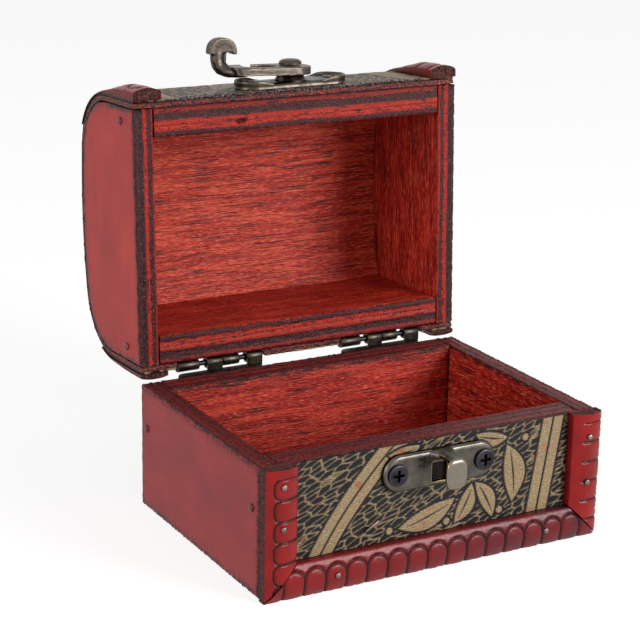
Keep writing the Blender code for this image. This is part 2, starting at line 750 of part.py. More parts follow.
def make_catch(metal, steel):
    """The lower plate: a pressed shell with the tab that the hook slips behind."""
    inner, outer = plate_rings(CATCH_SEAT, CATCH_Z)
    plate = make_object("catch_plate", add_loft(bmesh.new(), inner[::-1] + outer), metal)
    cut(plate, screw_holes(CATCH_Z))
    flat = CATCH_SEAT + PLATE_HEIGHT
    low = (LATCH_X - WINDOW_LEFT, FRONT - flat - OVERRUN, BASE_HEIGHT - WINDOW_BOTTOM_DROP)
    high = (LATCH_X + WINDOW_RIGHT, FRONT, BASE_HEIGHT - WINDOW_TOP_DROP)
    cut(plate, add_block(bmesh.new(), low, high))
    top = BASE_HEIGHT - STEM_TOP_DROP
    root = flat - PLATE_METAL / 2
    rings = []
    stations = (
        (root, STEM_ROOT_HALF_WIDTH, STEM_THICKNESS),
        (flat + (TIP_BACK - flat) * STEM_WAIST_SHARE, STEM_HALF_WIDTH, STEM_THICKNESS),
        (TIP_BACK + TIP_THICKNESS / 2, STEM_HALF_WIDTH, STEM_THICKNESS),
    )
    for out, half, thick in stations:
        corners = ((-half, top - thick), (half, top - thick), (half, top), (-half, top))
        rings.append([(LATCH_X + x, FRONT - out, z) for x, z in corners])
    weld(plate, add_loft(bmesh.new(), rings))
    tip_z = top - TIP_HEIGHT / 2
    rings = []
    for out_share, size in TIP_SHARES:
        out = TIP_BACK + TIP_THICKNESS * out_share
        rings.append(disc(TIP_WIDTH / 2 * size, out, tip_z, SMALL_SIDES, TIP_HEIGHT / 2 * size))
    weld(plate, add_loft(bmesh.new(), rings))
    make_screws("catch", CATCH_Z, flat, steel)


def make_latch_plate(lid, metal, steel):
    """The upper plate, with the raised middle that the rivet passes through."""
    inner, outer = plate_rings(MOULDING_SEAT, LATCH_Z)
    boss = [
        disc(BOSS_RADIUS, LATCH_TOP, LATCH_Z),
        disc(BOSS_TOP_RADIUS, BOSS_TOP, LATCH_Z),
    ]
    under = [
        disc(BOSS_RADIUS - PLATE_METAL, LATCH_TOP - PLATE_METAL, LATCH_Z),
        disc(BOSS_TOP_RADIUS - PLATE_METAL, BOSS_TOP - PLATE_METAL, LATCH_Z),
    ]
    rings = under[::-1] + inner[::-1] + outer + boss
    plate = make_object("latch_plate", add_loft(bmesh.new(), rings), metal)
    cut(plate, screw_holes(LATCH_Z))
    bore = bmesh.new()
    start = (LATCH_X, FRONT - BOSS_TOP - OVERRUN, LATCH_Z)
    add_rod(bore, start, (LATCH_X, FRONT, LATCH_Z), RIVET_RADIUS + PIN_CLEARANCE)
    cut(plate, bore)
    hold(plate, lid)
    make_screws("latch", LATCH_Z, LATCH_TOP, steel, lid)


def make_rivet(lid, steel):
    """Headed rivet: its tail is spread behind the plate's raised middle."""
    rise = math.tan(HOOK_TILT) * RIVET_HEAD_RADIUS
    head_seat = HOOK_BASE + HOOK_THICKNESS / math.cos(HOOK_TILT) + rise + PIN_CLEARANCE
    top = head_seat + RIVET_HEAD_HEIGHT
    tail_top = BOSS_TOP - PLATE_METAL - PIN_CLEARANCE
    tail_end = tail_top - RIVET_TAIL_HEIGHT
    stations = head_stations(RIVET_HEAD_SHARES, RIVET_HEAD_HEIGHT, RIVET_HEAD_RADIUS) + [
        (RIVET_HEAD_HEIGHT, RIVET_RADIUS),
        (top - tail_top, RIVET_RADIUS),
        (top - tail_top, RIVET_TAIL_RADIUS),
        (top - tail_end, RIVET_TAIL_RADIUS),
    ]
    bm = bmesh.new()
    add_turning(bm, (LATCH_X, FRONT - top, LATCH_Z), (LATCH_X, 0.0, LATCH_Z), stations)
    hold(make_object("hook_rivet", bm, steel), lid)


def add_hook_slab(bm, outline, low_out, high_out):
    """A flat shape in the hook's own plane: outline in (reach, across), thickness out."""
    return add_loft(bm, [[(-u, -out, w) for u, w in outline] for out in (low_out, high_out)])


def add_hook_upright(bm, outline, half_width):
    """A shape standing on the hook: outline in (reach, out), the same across."""
    return add_loft(bm, [[(-u, -out, w) for u, out in outline] for w in (-half_width, half_width)])


def hook_outline():
    """Ring round the rivet, straight sides and a rounded far end."""
    points = []
    for i in range(ROUND_SIDES + 1):
        angle = math.pi / 2 + math.pi * i / ROUND_SIDES
        points.append((HOOK_RING_RADIUS * math.cos(angle), HOOK_RING_RADIUS * math.sin(angle)))
    corner = HOOK_HALF_WIDTH - HOOK_TIP_HALF_WIDTH
    steps = SECTION_STEPS
    end = []
    for i in range(steps + 1):
        angle = math.pi / 2 * i / steps
        u = HOOK_REACH - corner + corner * math.sin(angle)
        end.append((u, HOOK_TIP_HALF_WIDTH + corner * math.cos(angle)))
    far = [(u, -w) for u, w in end]
    near = [(u, w) for u, w in reversed(end)]
    return points + far + near


def eye_outline():
    """Pointed slot between the rivet and the cross bar of the hook."""
    middle, half = (EYE_START + EYE_END) / 2, (EYE_END - EYE_START) / 2
    steps = SMALL_SIDES
    upper = []
    for i in range(steps + 1):
        share = -1 + 2 * i / steps
        upper.append((middle + half * share, EYE_HALF_WIDTH * (1 - abs(share) ** EYE_FULLNESS)))
    return upper + [(u, -w) for u, w in reversed(upper[1:-1])]


def notch_outline():
    """Curved way into the slot from its leading side, ringed about the rivet."""
    middle = (EYE_START + EYE_END) / 2
    steps = SMALL_SIDES
    sides = []
    for radius in (NOTCH_INNER, NOTCH_OUTER):
        first = math.asin(EYE_HALF_WIDTH * NOTCH_OVERLAP_SHARE / radius)
        last = math.asin((HOOK_HALF_WIDTH + OVERRUN) / middle)
        arc = []
        for i in range(steps + 1):
            angle = first + (last - first) * i / steps
            arc.append((radius * math.cos(angle), radius * math.sin(angle)))
        sides.append(arc)
    return sides[0] + sides[1][::-1]


def neck_outline():
    """Side view of the neck: it turns up from the cross bar to the middle of the cap."""
    wide = NECK_END - NECK_START
    root = HOOK_REACH - HOOK_THICKNESS
    top = CAP_TOP - CAP_THICKNESS / 2
    heel = [(NECK_START + wide * u, HOOK_THICKNESS * out) for u, out in HEEL_SHARES]
    instep = [(NECK_START + wide * u, HOOK_THICKNESS * out) for u, out in INSTEP_SHARES]
    bottom = [(root, 0.0)] + heel
    return bottom + [(NECK_END, top), (NECK_START, top)] + instep + [(root, HOOK_THICKNESS)]


def cap_outline():
    """Side view of the finger cap: an arch whose two ends droop past the neck."""
    middle, half = (CAP_START + CAP_END) / 2, (CAP_END - CAP_START) / 2
    foot = CAP_TOP - CAP_DROOP
    sides = []
    for drop in (0.0, CAP_THICKNESS):
        side = []
        for i in range(ROUND_SIDES + 1):
            angle = math.pi * i / ROUND_SIDES
            rise = (CAP_DROOP - drop) * math.sin(angle) ** CAP_FULLNESS
            side.append((middle + (half - drop) * math.cos(angle), foot + rise))
        sides.append(side)
    return sides[0] + sides[1][::-1]


def make_hook(pivot, metal):
    """Pierced hook with its finger cap, drawn pointing left from the rivet."""
    bm = add_hook_slab(bmesh.new(), hook_outline(), 0.0, HOOK_THICKNESS)
    hook = make_object("swing_hook", bm, metal)
    holes = bmesh.new()
    bore_end = HOOK_THICKNESS + OVERRUN
    add_rod(holes, (0.0, OVERRUN, 0.0), (0.0, -bore_end, 0.0), RIVET_RADIUS + PIN_CLEARANCE)
    cut(hook, holes)
    cut(hook, add_hook_slab(bmesh.new(), eye_outline(), -OVERRUN, bore_end))
    cut(hook, add_hook_slab(bmesh.new(), notch_outline(), -OVERRUN, bore_end))
    weld(hook, add_hook_upright(bmesh.new(), neck_outline(), NECK_HALF_WIDTH))
    weld(hook, add_hook_upright(bmesh.new(), cap_outline(), CAP_HALF_WIDTH))
    hook.parent = pivot


def main():
    clear_scene()
    wood = finish("stained_end_ply", (0.30, 0.065, 0.070), 0.55)
    ply = finish("red_stained_ply", (0.45, 0.050, 0.022), 0.5)
    sheet_wood = finish("red_dome_veneer", (0.42, 0.045, 0.022), 0.5)
    paper = finish("embossed_paper", (0.22, 0.18, 0.10), 0.6)
    trim = finish("carved_red_trim", (0.33, 0.025, 0.023), 0.45)
    metal = finish("aged_pewter", (0.27, 0.26, 0.22), 0.4, 1.0)
    brass = finish("hinge_brass", (0.45, 0.36, 0.20), 0.4, 1.0)
    steel = finish("dull_steel", (0.16, 0.15, 0.17), 0.4, 1.0)
    lid = lid_pivot()
    make_base_ends(wood)
    make_base_walls(ply)
    make_base_paper(paper)
    make_base_mouldings(trim)
    make_brads(steel)
    make_corner_nails("base", CORNER_NAIL_HEIGHT, steel)
    make_lid_ends(lid, wood)
    make_lid_walls(lid, ply)
    make_lid_skins(lid, sheet_wood, paper)
    make_lid_mouldings(lid, trim)
    make_corner_nails("lid", LID_RIM + LID_NAIL_HEIGHT, steel, lid)
    make_hinges(lid, brass, steel)
    make_catch(metal, steel)
    make_latch_plate(lid, metal, steel)
    make_rivet(lid, steel)
    make_hook(hook_pivot(lid), metal)


main()
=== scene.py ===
"""Looks of a small keepsake box of stained plywood with a domed lid.

Metres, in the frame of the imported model. Pieces of the lid are drawn as if it were shut and
then turned open with it, so a pattern's coordinates are those of the shut box.
"""

import functools
import json
import math
import random

import bpy
import numpy as np
from mathutils import Matrix, Vector, noise


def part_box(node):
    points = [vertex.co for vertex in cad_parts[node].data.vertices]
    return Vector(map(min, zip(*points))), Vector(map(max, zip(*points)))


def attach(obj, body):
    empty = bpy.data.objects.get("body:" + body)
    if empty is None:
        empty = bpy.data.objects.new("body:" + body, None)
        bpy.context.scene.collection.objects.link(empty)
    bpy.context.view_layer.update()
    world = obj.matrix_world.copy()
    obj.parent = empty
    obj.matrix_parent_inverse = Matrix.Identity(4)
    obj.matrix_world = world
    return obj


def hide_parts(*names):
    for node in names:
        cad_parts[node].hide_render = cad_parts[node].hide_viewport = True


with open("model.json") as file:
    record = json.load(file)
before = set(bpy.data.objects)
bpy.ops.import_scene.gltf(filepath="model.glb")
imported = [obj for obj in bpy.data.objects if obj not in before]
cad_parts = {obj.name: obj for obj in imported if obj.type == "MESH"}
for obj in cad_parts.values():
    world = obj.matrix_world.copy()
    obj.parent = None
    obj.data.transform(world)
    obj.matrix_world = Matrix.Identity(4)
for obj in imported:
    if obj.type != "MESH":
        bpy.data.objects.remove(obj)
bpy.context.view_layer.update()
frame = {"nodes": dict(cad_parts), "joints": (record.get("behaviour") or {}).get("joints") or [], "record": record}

MM = 0.001

# Camera, from the photograph's perspective
CAMERA_YAW = math.radians(29.44)
CAMERA_PITCH = math.radians(17.02)
CAMERA_ROLL = math.radians(1.2)
CAMERA_TARGET = Vector((-11.55, 0.0, 46.24)) * MM
CAMERA_DISTANCE = 406.81 * MM
CAMERA_LENS = 109.7
SENSOR_WIDTH = 36.0

# Lid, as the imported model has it
LID_SIDE_HEIGHT = 15.3 * MM
SHOULDER_RADIUS = 13.0 * MM
CROWN_RADIUS = 120.0 * MM
SHEET_THICKNESS = 1.0 * MM
PAPER_THICKNESS = 0.35 * MM
GLUE_GAP = 0.1 * MM
LEAF_MARGIN = 0.4 * MM
NOTCH_BAND = 12.0 * MM
NOTCH_POINTS = 20
NOTCH_HAIR = 0.02 * MM
RIM_BAND = 2.0 * MM
RIM_POINTS = 8

# Sawn and rubbed edges of the boards
EDGE_RADIUS = 0.3 * MM
EDGE_REACH = 0.5 * MM
STAIN_REACH = 1.1 * MM
INNER_STAIN = 0.2
FRAY = 0.34 * MM
FRAY_SIZE = 0.7 * MM
FINE_FRAY_SIZE = FRAY_SIZE / 2.3
FRAY_LEVEL = 0.45
COARSE_FRAY = 0.55
FINE_FRAY = 0.45
SHEET_FRAY = 1.4 * FRAY
PLY_RECESS = 0.2 * MM
PLY_LEVEL = 0.25
PLY_RIPPLE = 0.3
CRUMBLE_LEVEL = 0.75
COARSE_CRUMBLE = 0.7
FINE_CRUMBLE = 0.4
PLY_LINES = (0.0, 0.16, 0.22, 0.4, 0.46, 0.56, 0.62, 0.82, 0.88, 1.0)
PLY_HOLLOWS = (0, 0, 1, 1, 0, 0, 1, 1, 0, 0)
CRUMBLE_SIZES = (0.8 * MM, 0.35 * MM)
RIPPLE_SIZE = 1.6 * MM
FACE_INSETS = (1.3 * MM, 1.9 * MM, 2.8 * MM)
FACE_SHARES = (0.6, 0.25, 0.02)
BOARD_STEP = 0.26 * MM
DOME_STEP = 0.8 * MM
RIM_STEP = 0.5 * MM
LID_END_STEP = 0.3 * MM
LID_WALL_STEP = 1.2 * MM
SHEET_COLUMN_STEP = 0.7 * MM
SHEET_RUN_STEP = 0.6 * MM
FACE_STEP = 1.6 * MM
EDGE_POINTS = 14
CORNER_LOSS = 0.75
AXIS_SEED = 7.3
CORNER_TURNS = tuple(math.radians(angle) for angle in (0, 30, 60, 90))
WALL_POINTS = 24
WALL_BACK_POINTS = 7
WALL_BACK_LIFT = 1.0 * MM
FLOOR_REACH = (0.75 * MM, 0.75 * MM, 0.0)
PANEL_REACH = (0.5 * MM, 0.0, 0.0)

# Carved strips
GROOVE_WIDTH = 0.26 * MM
GROOVE_DEPTH = 0.32 * MM
LOBE_SWELL = 0.1 * MM
# Darkness round the lobes' cuts, part soil and part painted shade
SOIL_AND_SHADE = 0.3
CARVE_STEP = 0.16 * MM
BASE_STRIP_SIDE = 2.3 * MM
BASE_STRIP_CREST = 3.4 * MM
MITRE_GAP = 0.4 * MM
SIDE_STRIP_HEAD = 1.9 * MM
LID_STRIP_WIDTH = 6.5 * MM
LID_STRIP_SEAT = 1.65 * MM
TAPER_START = 6.0 * MM
STRIP_TAIL = 0.3 * MM
TAPER_SIDE_SHARE = 0.66
LID_LOBE_START = 1.2 * MM
FOOT_RISES = (0.0, 0.45, 0.85)
FOOT_STAIN = 0.8
STRIP_FULLNESS = 0.75
CARVED_FROM = 0.8 * MM
CARVED_FADE = 1.2 * MM
LOBE_FADE = 0.8 * MM
LOBE_LEVEL = 0.6
WOBBLE = 0.05 * MM
WOBBLE_SIZES = (1.8 * MM, 0.5 * MM)
WOBBLE_LEVEL = 1.2
TORN_DEPTH = 0.3 * MM
TORN_REACH = 0.35 * MM
TORN_SIZES = (0.9 * MM, 0.4 * MM)
TORN_FINE = 0.6
# How far the cuts' soil and painted shade spread round the lobes
SOIL_AND_SHADE_SPREAD = 0.14
TAIL_RAW = 0.5
TAIL_CREST = 0.9 * MM
TAIL_FADE = 0.5 * MM
DUST_LEVEL = 0.55
DUST_LEAN = 0.45
SAWN_SHARES = (0.93, 0.75, 0.5, 0.25)
SAWN_DENT = 0.22 * MM
SAWN_SIZES = (0.7 * MM, 0.3 * MM)
SAWN_LEVEL = 1.1
# Where each lid strip starts, its crest, its length and where its taper ends
LID_STRIPS = (
    ("front", 2.85 * MM, 30.0 * MM, 21.0 * MM),
    ("back", 1.4 * MM, 21.0 * MM, 21.0 * MM),
)

# Embossed paper
RELIEF = 0.14 * MM
LINE_SHARE = 0.8
RELIEF_SINK = 0.05 * MM
PAPER_MARGIN = 0.3 * MM
PAPER_FADE = 0.5 * MM
FRONT_PAPER_STEP = 0.16 * MM
DOME_PAPER_STEP = 0.3 * MM
# The paper's hidden side has only every fourth point of its face
PAPER_BACK_STRIDE = 4

# Drawing of the paper's pattern, in millimetres or as shares of a leaf
VEIN_LEVEL = 1.2
BAND_BORDER = 0.55
LEAF_BORDER = 0.6
DOT_BORDER = 0.5
DOT_RADIUS = 0.75
LEAF_BEND = 0.25
LEAF_LIMIT = 1.15
RIB_BEND = 0.1
RIB_HALF = 0.2
RIB_TAPER = 1.1
RIB_SHARE = 0.75

# Nails, screws and rivet
WEAR_SPREAD = 0.6
WEAR_MARKS = (50, 96)
WEAR_BLEND = 0.6
BUMP_SIZE = 0.5 * MM
NAIL_BUMPS = 0.12 * MM
NAIL_HEAD_HEIGHT = 0.35 * MM
SCREW_HEAD_HEIGHT = 0.55 * MM
SCREW_SINK = 0.25 * MM
LATCH_SCREW_SINK = 0.65 * MM
CROSS_DEPTH = 0.5 * MM
RIVET_HEAD_HEIGHT = 1.2 * MM
# Two ends of the brad driven askew, in millimetres
STRAY_BRAD = ((-16.4, -28.9, 10.4), (-13.2, -28.75, 12.3))
# Along it: shares of its length, with its radius in millimetres
STRAY_BRAD_STATIONS = ((0.0, 0.18), (0.1, 0.3), (0.9, 0.3), (1.0, 0.22))
STRAY_BRAD_SIDES = 14

# Hinges
LEAF_THICKNESS = 0.5 * MM
LEAF_START = 1.45 * MM
LEAF_CORNER = 0.7 * MM
LEAF_SIDE_POINTS = (6, 14, 6, 14)
# Across a leaf: shares of its thickness, each with the inset of its outline in millimetres
LEAF_STATIONS = ((0.0, 0.1), (0.2, 0.0), (0.8, 0.0), (1.0, 0.12))
KNUCKLE_TURN = 305
KNUCKLE_POINTS = 26
KNUCKLE_TAIL = (1.8 * MM, 0.9 * MM)
KNUCKLE_BEVEL = 0.12 * MM
KNUCKLE_THINNING = 0.3
# The pin's end: millimetres in from it, and shares of its radius
PIN_END = ((0.0, 0.6), (0.1, 0.95), (0.2, 1.0))
PIN_SIDES = 20
LID_KNUCKLE_SHARES = ((0.0, 0.248), (0.533, 0.724))
BASE_KNUCKLE_SHARES = ((0.340, 0.520), (0.816, 1.0))

# Catch: stations are millimetres behind the tip's face, then a share of the tip's size, or the
# hood's half width, drop and rise
TAB_TOP_DROP = 2.6 * MM
TIP_WIDTH = 4.9 * MM
TIP_HEIGHT = 6.3 * MM
TIP_STATIONS = ((-0.25, 0.8), (-0.2, 0.88), (0.0, 1.0), (0.45, 1.02), (0.68, 0.97), (0.74, 0.9))
HOOD_STATIONS = (
    (0.5, 1.5, 0.5, 0.1), (2.6, 1.5, 0.5, 0.15), (4.1, 1.75, 0.52, 0.25), (4.9, 2.2, 1.35, 0.3),
    (6.3, 2.9, 1.7, 0.45),
)
# A sheet behind the catch's window, painted near black as shade: its sides, its drops below the rim and its depths
# from the plate's back
SHADE_PAN_X = (-3.0 * MM, 2.4 * MM)
SHADE_PAN_DROPS = (9.6 * MM, 4.4 * MM)
SHADE_PAN_DEPTHS = (0.55 * MM, 0.05 * MM)
POLISH_DEPTH = 0.35 * MM
POLISH_FADE = 0.5 * MM
# Painted shade near the catch plate's back, on its foot and on the sheet in its window: how dark, how near the
# back it starts, and over what depth it fades
SHADE_STRENGTH = 0.95
SHADE_DEPTH = 0.62 * MM
SHADE_FADE = 0.16 * MM

# Hook: stations are the reach from its pivot, the height above it, the half thickness and the
# half width, in millimetres
CAP_MIDDLE = 16.3 * MM
CAP_INNER = 3.5 * MM
CAP_HALF_WIDTH = 1.85 * MM
CAP_FILL_BASE = 5.3 * MM
CAP_FILL_RISE = 2.1 * MM
CAP_FILL_ARC = (8, 172)
CAP_FILL_POINTS = 17
HEEL_SIDES = 24
HEEL_SQUARENESS = 0.75
SLIM_START = 1.6 * MM
SLIM_BLEND = 1.6 * MM
CAP_LENGTH_SHARE = 0.82
CAP_WIDTH_SHARE = 0.66
HEEL_STATIONS = (
    (11.6, 0.93, 0.88, 3.15), (12.8, 0.98, 1.0, 3.0), (14.0, 1.1, 1.1, 2.8), (15.5, 1.4, 1.3, 2.55),
    (16.6, 2.0, 1.5, 2.4), (17.25, 2.9, 1.6, 2.25), (17.55, 4.0, 1.6, 2.1), (17.5, 5.1, 1.65, 2.0),
    (17.3, 6.1, 1.75, 1.9), (17.0, 6.9, 1.9, 1.8),
)

# Latch plate's curled rim: its section goes in from the plate's edge in millimetres and up by a
# share of its height, or down by millimetres
LATCH_BOSS = 1.1 * MM
CURL_HEIGHT = 0.75 * MM
CURL_RUN = 3.4 * MM
CURL_POINTS = 41
CURL_SECTION = (
    (0.15, -0.8), (0.02, 0.2), (0.05, 0.75), (0.3, 1.0), (0.62, 0.85), (0.8, 0.3), (0.85, -0.3),
)

# Knot hole in the front rim of the lid, painted near black as its shade
KNOT_X = -14.6 * MM
KNOT_DEPTH_SHARE = 0.33
KNOT_SIZE = (1.1 * MM, 0.42 * MM)
KNOT_SINK = 0.8 * MM
KNOT_HOLE_SHADE = 1.5

# Torn paper along the lid's rim
LINT_COUNT = 620
LINT_SEED = 11
LINT_MARGIN = 1.8 * MM
# Ranges of a fibre's start along the dome, its length and its thickness, in millimetres
LINT_RUN = (0.0, 0.6)
LINT_LENGTH = (0.4, 1.2)
LINT_THICKNESS = (0.07, 0.13)
# Ranges of its start as a share of the paper, and of its lean outwards and upwards
LINT_DEPTH_SHARES = (0.1, 0.9)
LINT_OUT = (-0.9, 0.3)
LINT_UP = (-1.0, 0.2)
# Along it: shares of its length, with shares of its thickness
LINT_STATIONS = ((-0.2, 1.0), (0.5, 0.8), (1.0, 0.25))
LINT_TURNS = (0, 2.1, 4.2)

joints = {joint["name"]: joint for joint in frame["joints"]}
record = frame["record"]
node_slots = {row["node"]: row["material_slot"] for row in record["subparts"]}
body_of_node = {node: body for body, nodes in record["behaviour"]["bodies"].items() for node in nodes}


def opening_turn():
    """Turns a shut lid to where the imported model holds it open."""
    hinge = joints["lid_hinge"]
    place = Matrix.Translation(hinge["pos_m"])
    angle = math.radians(hinge["range_deg"][1])
    return place @ Matrix.Rotation(-angle, 4, Vector(hinge["axis"])) @ place.inverted()


OPENING = opening_turn()


@functools.lru_cache(maxsize=None)
def drawn_box(node):
    """Lowest and highest corner of a node, for the lid's nodes as it lies shut."""
    if body_of_node[node] == "base":
        low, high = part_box(node)
        return np.array(low), np.array(high)
    back = OPENING.inverted()
    points = np.array([back @ corner.co for corner in frame["nodes"][node].data.vertices])
    return points.min(axis=0), points.max(axis=0)


base_low = drawn_box("base_left_end")[0]
base_high = drawn_box("base_right_end")[1]
SIDE = base_high[0]
FRONT = base_low[1]
BACK = base_high[1]
BASE_HEIGHT = base_high[2]
END_THICKNESS = drawn_box("base_left_end")[1][0] + SIDE
WALL_THICKNESS = drawn_box("base_front_panel")[1][1] - FRONT
FLOOR_THICKNESS = drawn_box("base_bottom_panel")[1][2]
LID_RIM = drawn_box("lid_left_end")[0][2]
PIN_Y, PIN_Z = joints["lid_hinge"]["pos_m"][1:]


# Meshes

SHARP_ANGLE = math.radians(38)


def add_item(name, data):
    """A new object in the scene."""
    item = bpy.data.objects.new(name, data)
    bpy.context.scene.collection.objects.link(item)
    return item


def store_fields(mesh, fields):
    """Stores a value for every point under each field's name, for the surfaces to read."""
    for field, values in fields.items():
        attribute = mesh.attributes.new(field, "FLOAT", "POINT")
        attribute.data.foreach_set("value", np.asarray(values, np.float32).ravel())


def make_piece(name, points, faces, surface, nodes, fields=None):
    """A smooth mesh that stands for these nodes and rides on their body."""
    mesh = bpy.data.meshes.new(name)
    mesh.from_pydata(np.asarray(points).reshape(-1, 3).tolist(), [], faces)
    store_fields(mesh, fields or {})
    body = body_of_node[nodes[0]]
    return settle(mesh, surface, nodes, Matrix.Identity(4) if body == "base" else OPENING)


def settle(mesh, surface, nodes, matrix):
    """Shades a mesh smooth up to sharp edges, and puts it in the place of these nodes."""
    mesh.validate()
    mesh.shade_smooth()
    mesh.set_sharp_from_angle(angle=SHARP_ANGLE)
    mesh.materials.append(surface)
    piece = add_item(mesh.name, mesh)
    piece.matrix_world = matrix
    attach(piece, body_of_node[nodes[0]])
    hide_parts(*nodes)
    return piece


def loft_faces(rows, columns, start=0, caps=True):
    """Quads between rings of points, and a face on each end ring."""
    index = start + np.arange(rows * columns).reshape(rows, columns)
    ahead = np.roll(index, -1, axis=1)
    quads = np.stack([index[:-1], index[1:], ahead[1:], ahead[:-1]], axis=-1)
    faces = quads.reshape(-1, 4).tolist()
    if caps:
        faces += [index[0].tolist(), index[-1][::-1].tolist()]
    return faces


def turned_outwards(rings, faces):
    """The faces of a closed loft, all reversed where they would face inwards."""
    near, far = rings[:-1], rings[1:]
    far_ahead = np.roll(far, -1, axis=1)
    near_ahead = np.roll(near, -1, axis=1)
    volume = (near * np.cross(far, far_ahead)).sum() + (near * np.cross(far_ahead, near_ahead)).sum()
    for end, sign in ((rings[0], 1), (rings[-1], -1)):
        volume += sign * (end[0] * np.cross(end[1:-1], end[2:])).sum()
    return [face[::-1] for face in faces] if volume < 0 else faces


def loft(name, rings, surface, nodes, fields=None):
    """A closed solid through rings of points, its faces turned outwards."""
    rings = np.asarray(rings)
    faces = turned_outwards(rings, loft_faces(*rings.shape[:2]))
    return make_piece(name, rings, faces, surface, nodes, fields)


def join(parts):
    """Points and faces of several closed lofts, gathered for one piece."""
    points = []
    faces = []
    for rings in parts:
        rings = np.asarray(rings)
        own = turned_outwards(rings, loft_faces(*rings.shape[:2]))
        shift = len(points)
        faces += [[corner + shift for corner in face] for face in own]
        points += rings.reshape(-1, 3).tolist()
    return points, faces


def rough(points, size, seed=0.0):
    """Smooth noise, from -1 to 1, for every point; size is the width of its bumps."""
    flat = np.asarray(points).reshape(-1, 3) / size + seed
    values = [noise.noise(Vector(point)) for point in flat.tolist()]
    return np.array(values).reshape(np.asarray(points).shape[:-1])


def spread(low, high, step):
    """Evenly spaced places from low to high, about a step apart."""
    count = max(2, int(math.ceil((high - low) / step)) + 1)
    return np.linspace(low, high, count)


# Surfaces

# Real sizes of the patterns in the finishes, in millimetres: a width, or a width and a length
# along the grain. Pores, fibres and crumbs are drawn a little wider than the real ones, which
# are too fine to show.
PORE = (0.28, 9.0)
FIBRE = (0.2, 1.5)
BAND = (1.4, 16.0)
BRUSH = (0.7, 22.0)
CRUMB = (0.2, 0.5)
HOLLOW = (0.55, 2.6)
STAIN_CLOUD = 11.0
VENEER_GRIT = 0.5
LACQUER_CLOUD = 6.0
LACQUER_GRIT = 0.25
LACQUER_PIT = 0.7
PAPER_GRIT = 0.5
PAPER_RIB = 0.5
RUST_PATCH = 3.4
TORN_GRIT = 0.6
METAL_GRIT = 0.7
METAL_CLOUD = 3.0

# Typical index of refraction of lacquered wood and of printed paper
STAIN_IOR = 1.5
PAPER_IOR = 1.45


def srgb(code):
    """Linear colour of an sRGB hex value."""
    shares = [int(code[place:place + 2], 16) / 255 for place in (1, 3, 5)]
    linear = [((s + 0.055) / 1.055) ** 2.4 if s > 0.04045 else s / 12.92 for s in shares]
    return (*linear, 1.0)


def add(tree, kind, sockets=None, stops=(), **settings):
    """Adds a node with its settings, values and links, and returns its outputs."""
    node = tree.nodes.new("ShaderNode" + kind)
    for name, value in settings.items():
        setattr(node, name, value)
    for key, value in (sockets or {}).items():
        if isinstance(value, bpy.types.NodeSocket):
            tree.links.new(value, node.inputs[key])
        else:
            node.inputs[key].default_value = value
    if stops:
        elements = node.color_ramp.elements
        while len(elements) < len(stops):
            elements.new(1.0)
        for element, (place, code) in zip(elements, stops):
            element.position = place
            element.color = srgb(code) if isinstance(code, str) else (code, code, code, 1.0)
    return node.outputs


def new_surface(name):
    """An empty material: its tree, and the drawn coordinates in millimetres."""
    surface = bpy.data.materials.new(name)
    surface.use_nodes = True
    tree = surface.node_tree
    tree.nodes.clear()
    place = add(tree, "TexCoord")["Object"]
    drawn = add(tree, "VectorMath", {0: place, 1: (1 / MM,) * 3}, operation="MULTIPLY")[0]
    return surface, tree, drawn


def close_surface(tree, sockets):
    """Ends a material's tree in its shader."""
    shader = add(tree, "BsdfPrincipled", sockets)["BSDF"]
    add(tree, "OutputMaterial", {"Surface": shader})


def sized(tree, drawn, width, length=None, along=0):
    """Coordinates in which a pattern's unit is this wide, and this long along one axis."""
    lengths = [width] * 3
    lengths[along] = length or width
    scale = tuple(1 / side for side in lengths)
    return add(tree, "VectorMath", {0: drawn, 1: scale}, operation="MULTIPLY")[0]


def coated(tree, colour, *coats):
    """Lays coats over a colour one after another, each given as how much it covers and its colour."""
    for cover, coat in coats:
        colour = add(tree, "Mix", {0: cover, 6: colour, 7: coat}, data_type="RGBA")[2]
    return colour


def depth_in_board(tree, drawn, axis, outside, thickness):
    """0 on a board's inner face and 1 on its outer face, in a board across this axis."""
    along = add(tree, "SeparateXYZ", {0: drawn})["XYZ"[axis]]
    reach = add(tree, "Math", {0: along}, operation="ABSOLUTE")[0]
    low = (outside - thickness) / MM
    high = outside / MM
    return add(tree, "MapRange", {0: reach, 1: low, 2: high, 3: 0.0, 4: 1.0})[0]


def grain(tree, drawn, along):
    """Open grain of a stained rotary-cut veneer: broken dark pores, fibres, bands and brush marks."""
    patterns = []
    for width, length in (PORE, FIBRE, BAND, BRUSH):
        place = sized(tree, drawn, width, length, along)
        sockets = {"Vector": place, "Scale": 1.0, "Detail": 1.5, "Distortion": 0.2}
        patterns.append(add(tree, "TexNoise", sockets)["Fac"])
    return patterns


def stained_wood(tree, patterns, tones):
    """Red stain on bare veneer: dark in the open pores, with painted orange highlights on the crests of fibres."""
    pores, fibres, bands = patterns[:3]
    colour = add(tree, "ValToRGB", {0: bands}, stops=tuple(zip((0.36, 0.5, 0.62), tones)))[0]
    deep = add(tree, "ValToRGB", {0: fibres}, stops=((0.3, 0.8), (0.48, 0.0)))[0]
    # Painted highlight: orange glints on the fibres' crests, in place of the light they catch
    painted_glint = add(tree, "ValToRGB", {0: fibres}, stops=((0.54, 0.0), (0.7, 0.7)))[0]
    dark = add(tree, "ValToRGB", {0: pores}, stops=((0.35, 0.95), (0.43, 0.0)))[0]
    return coated(tree, colour, (deep, srgb("#741009")), (painted_glint, srgb("#ea7a5c")), (dark, srgb("#380807")))


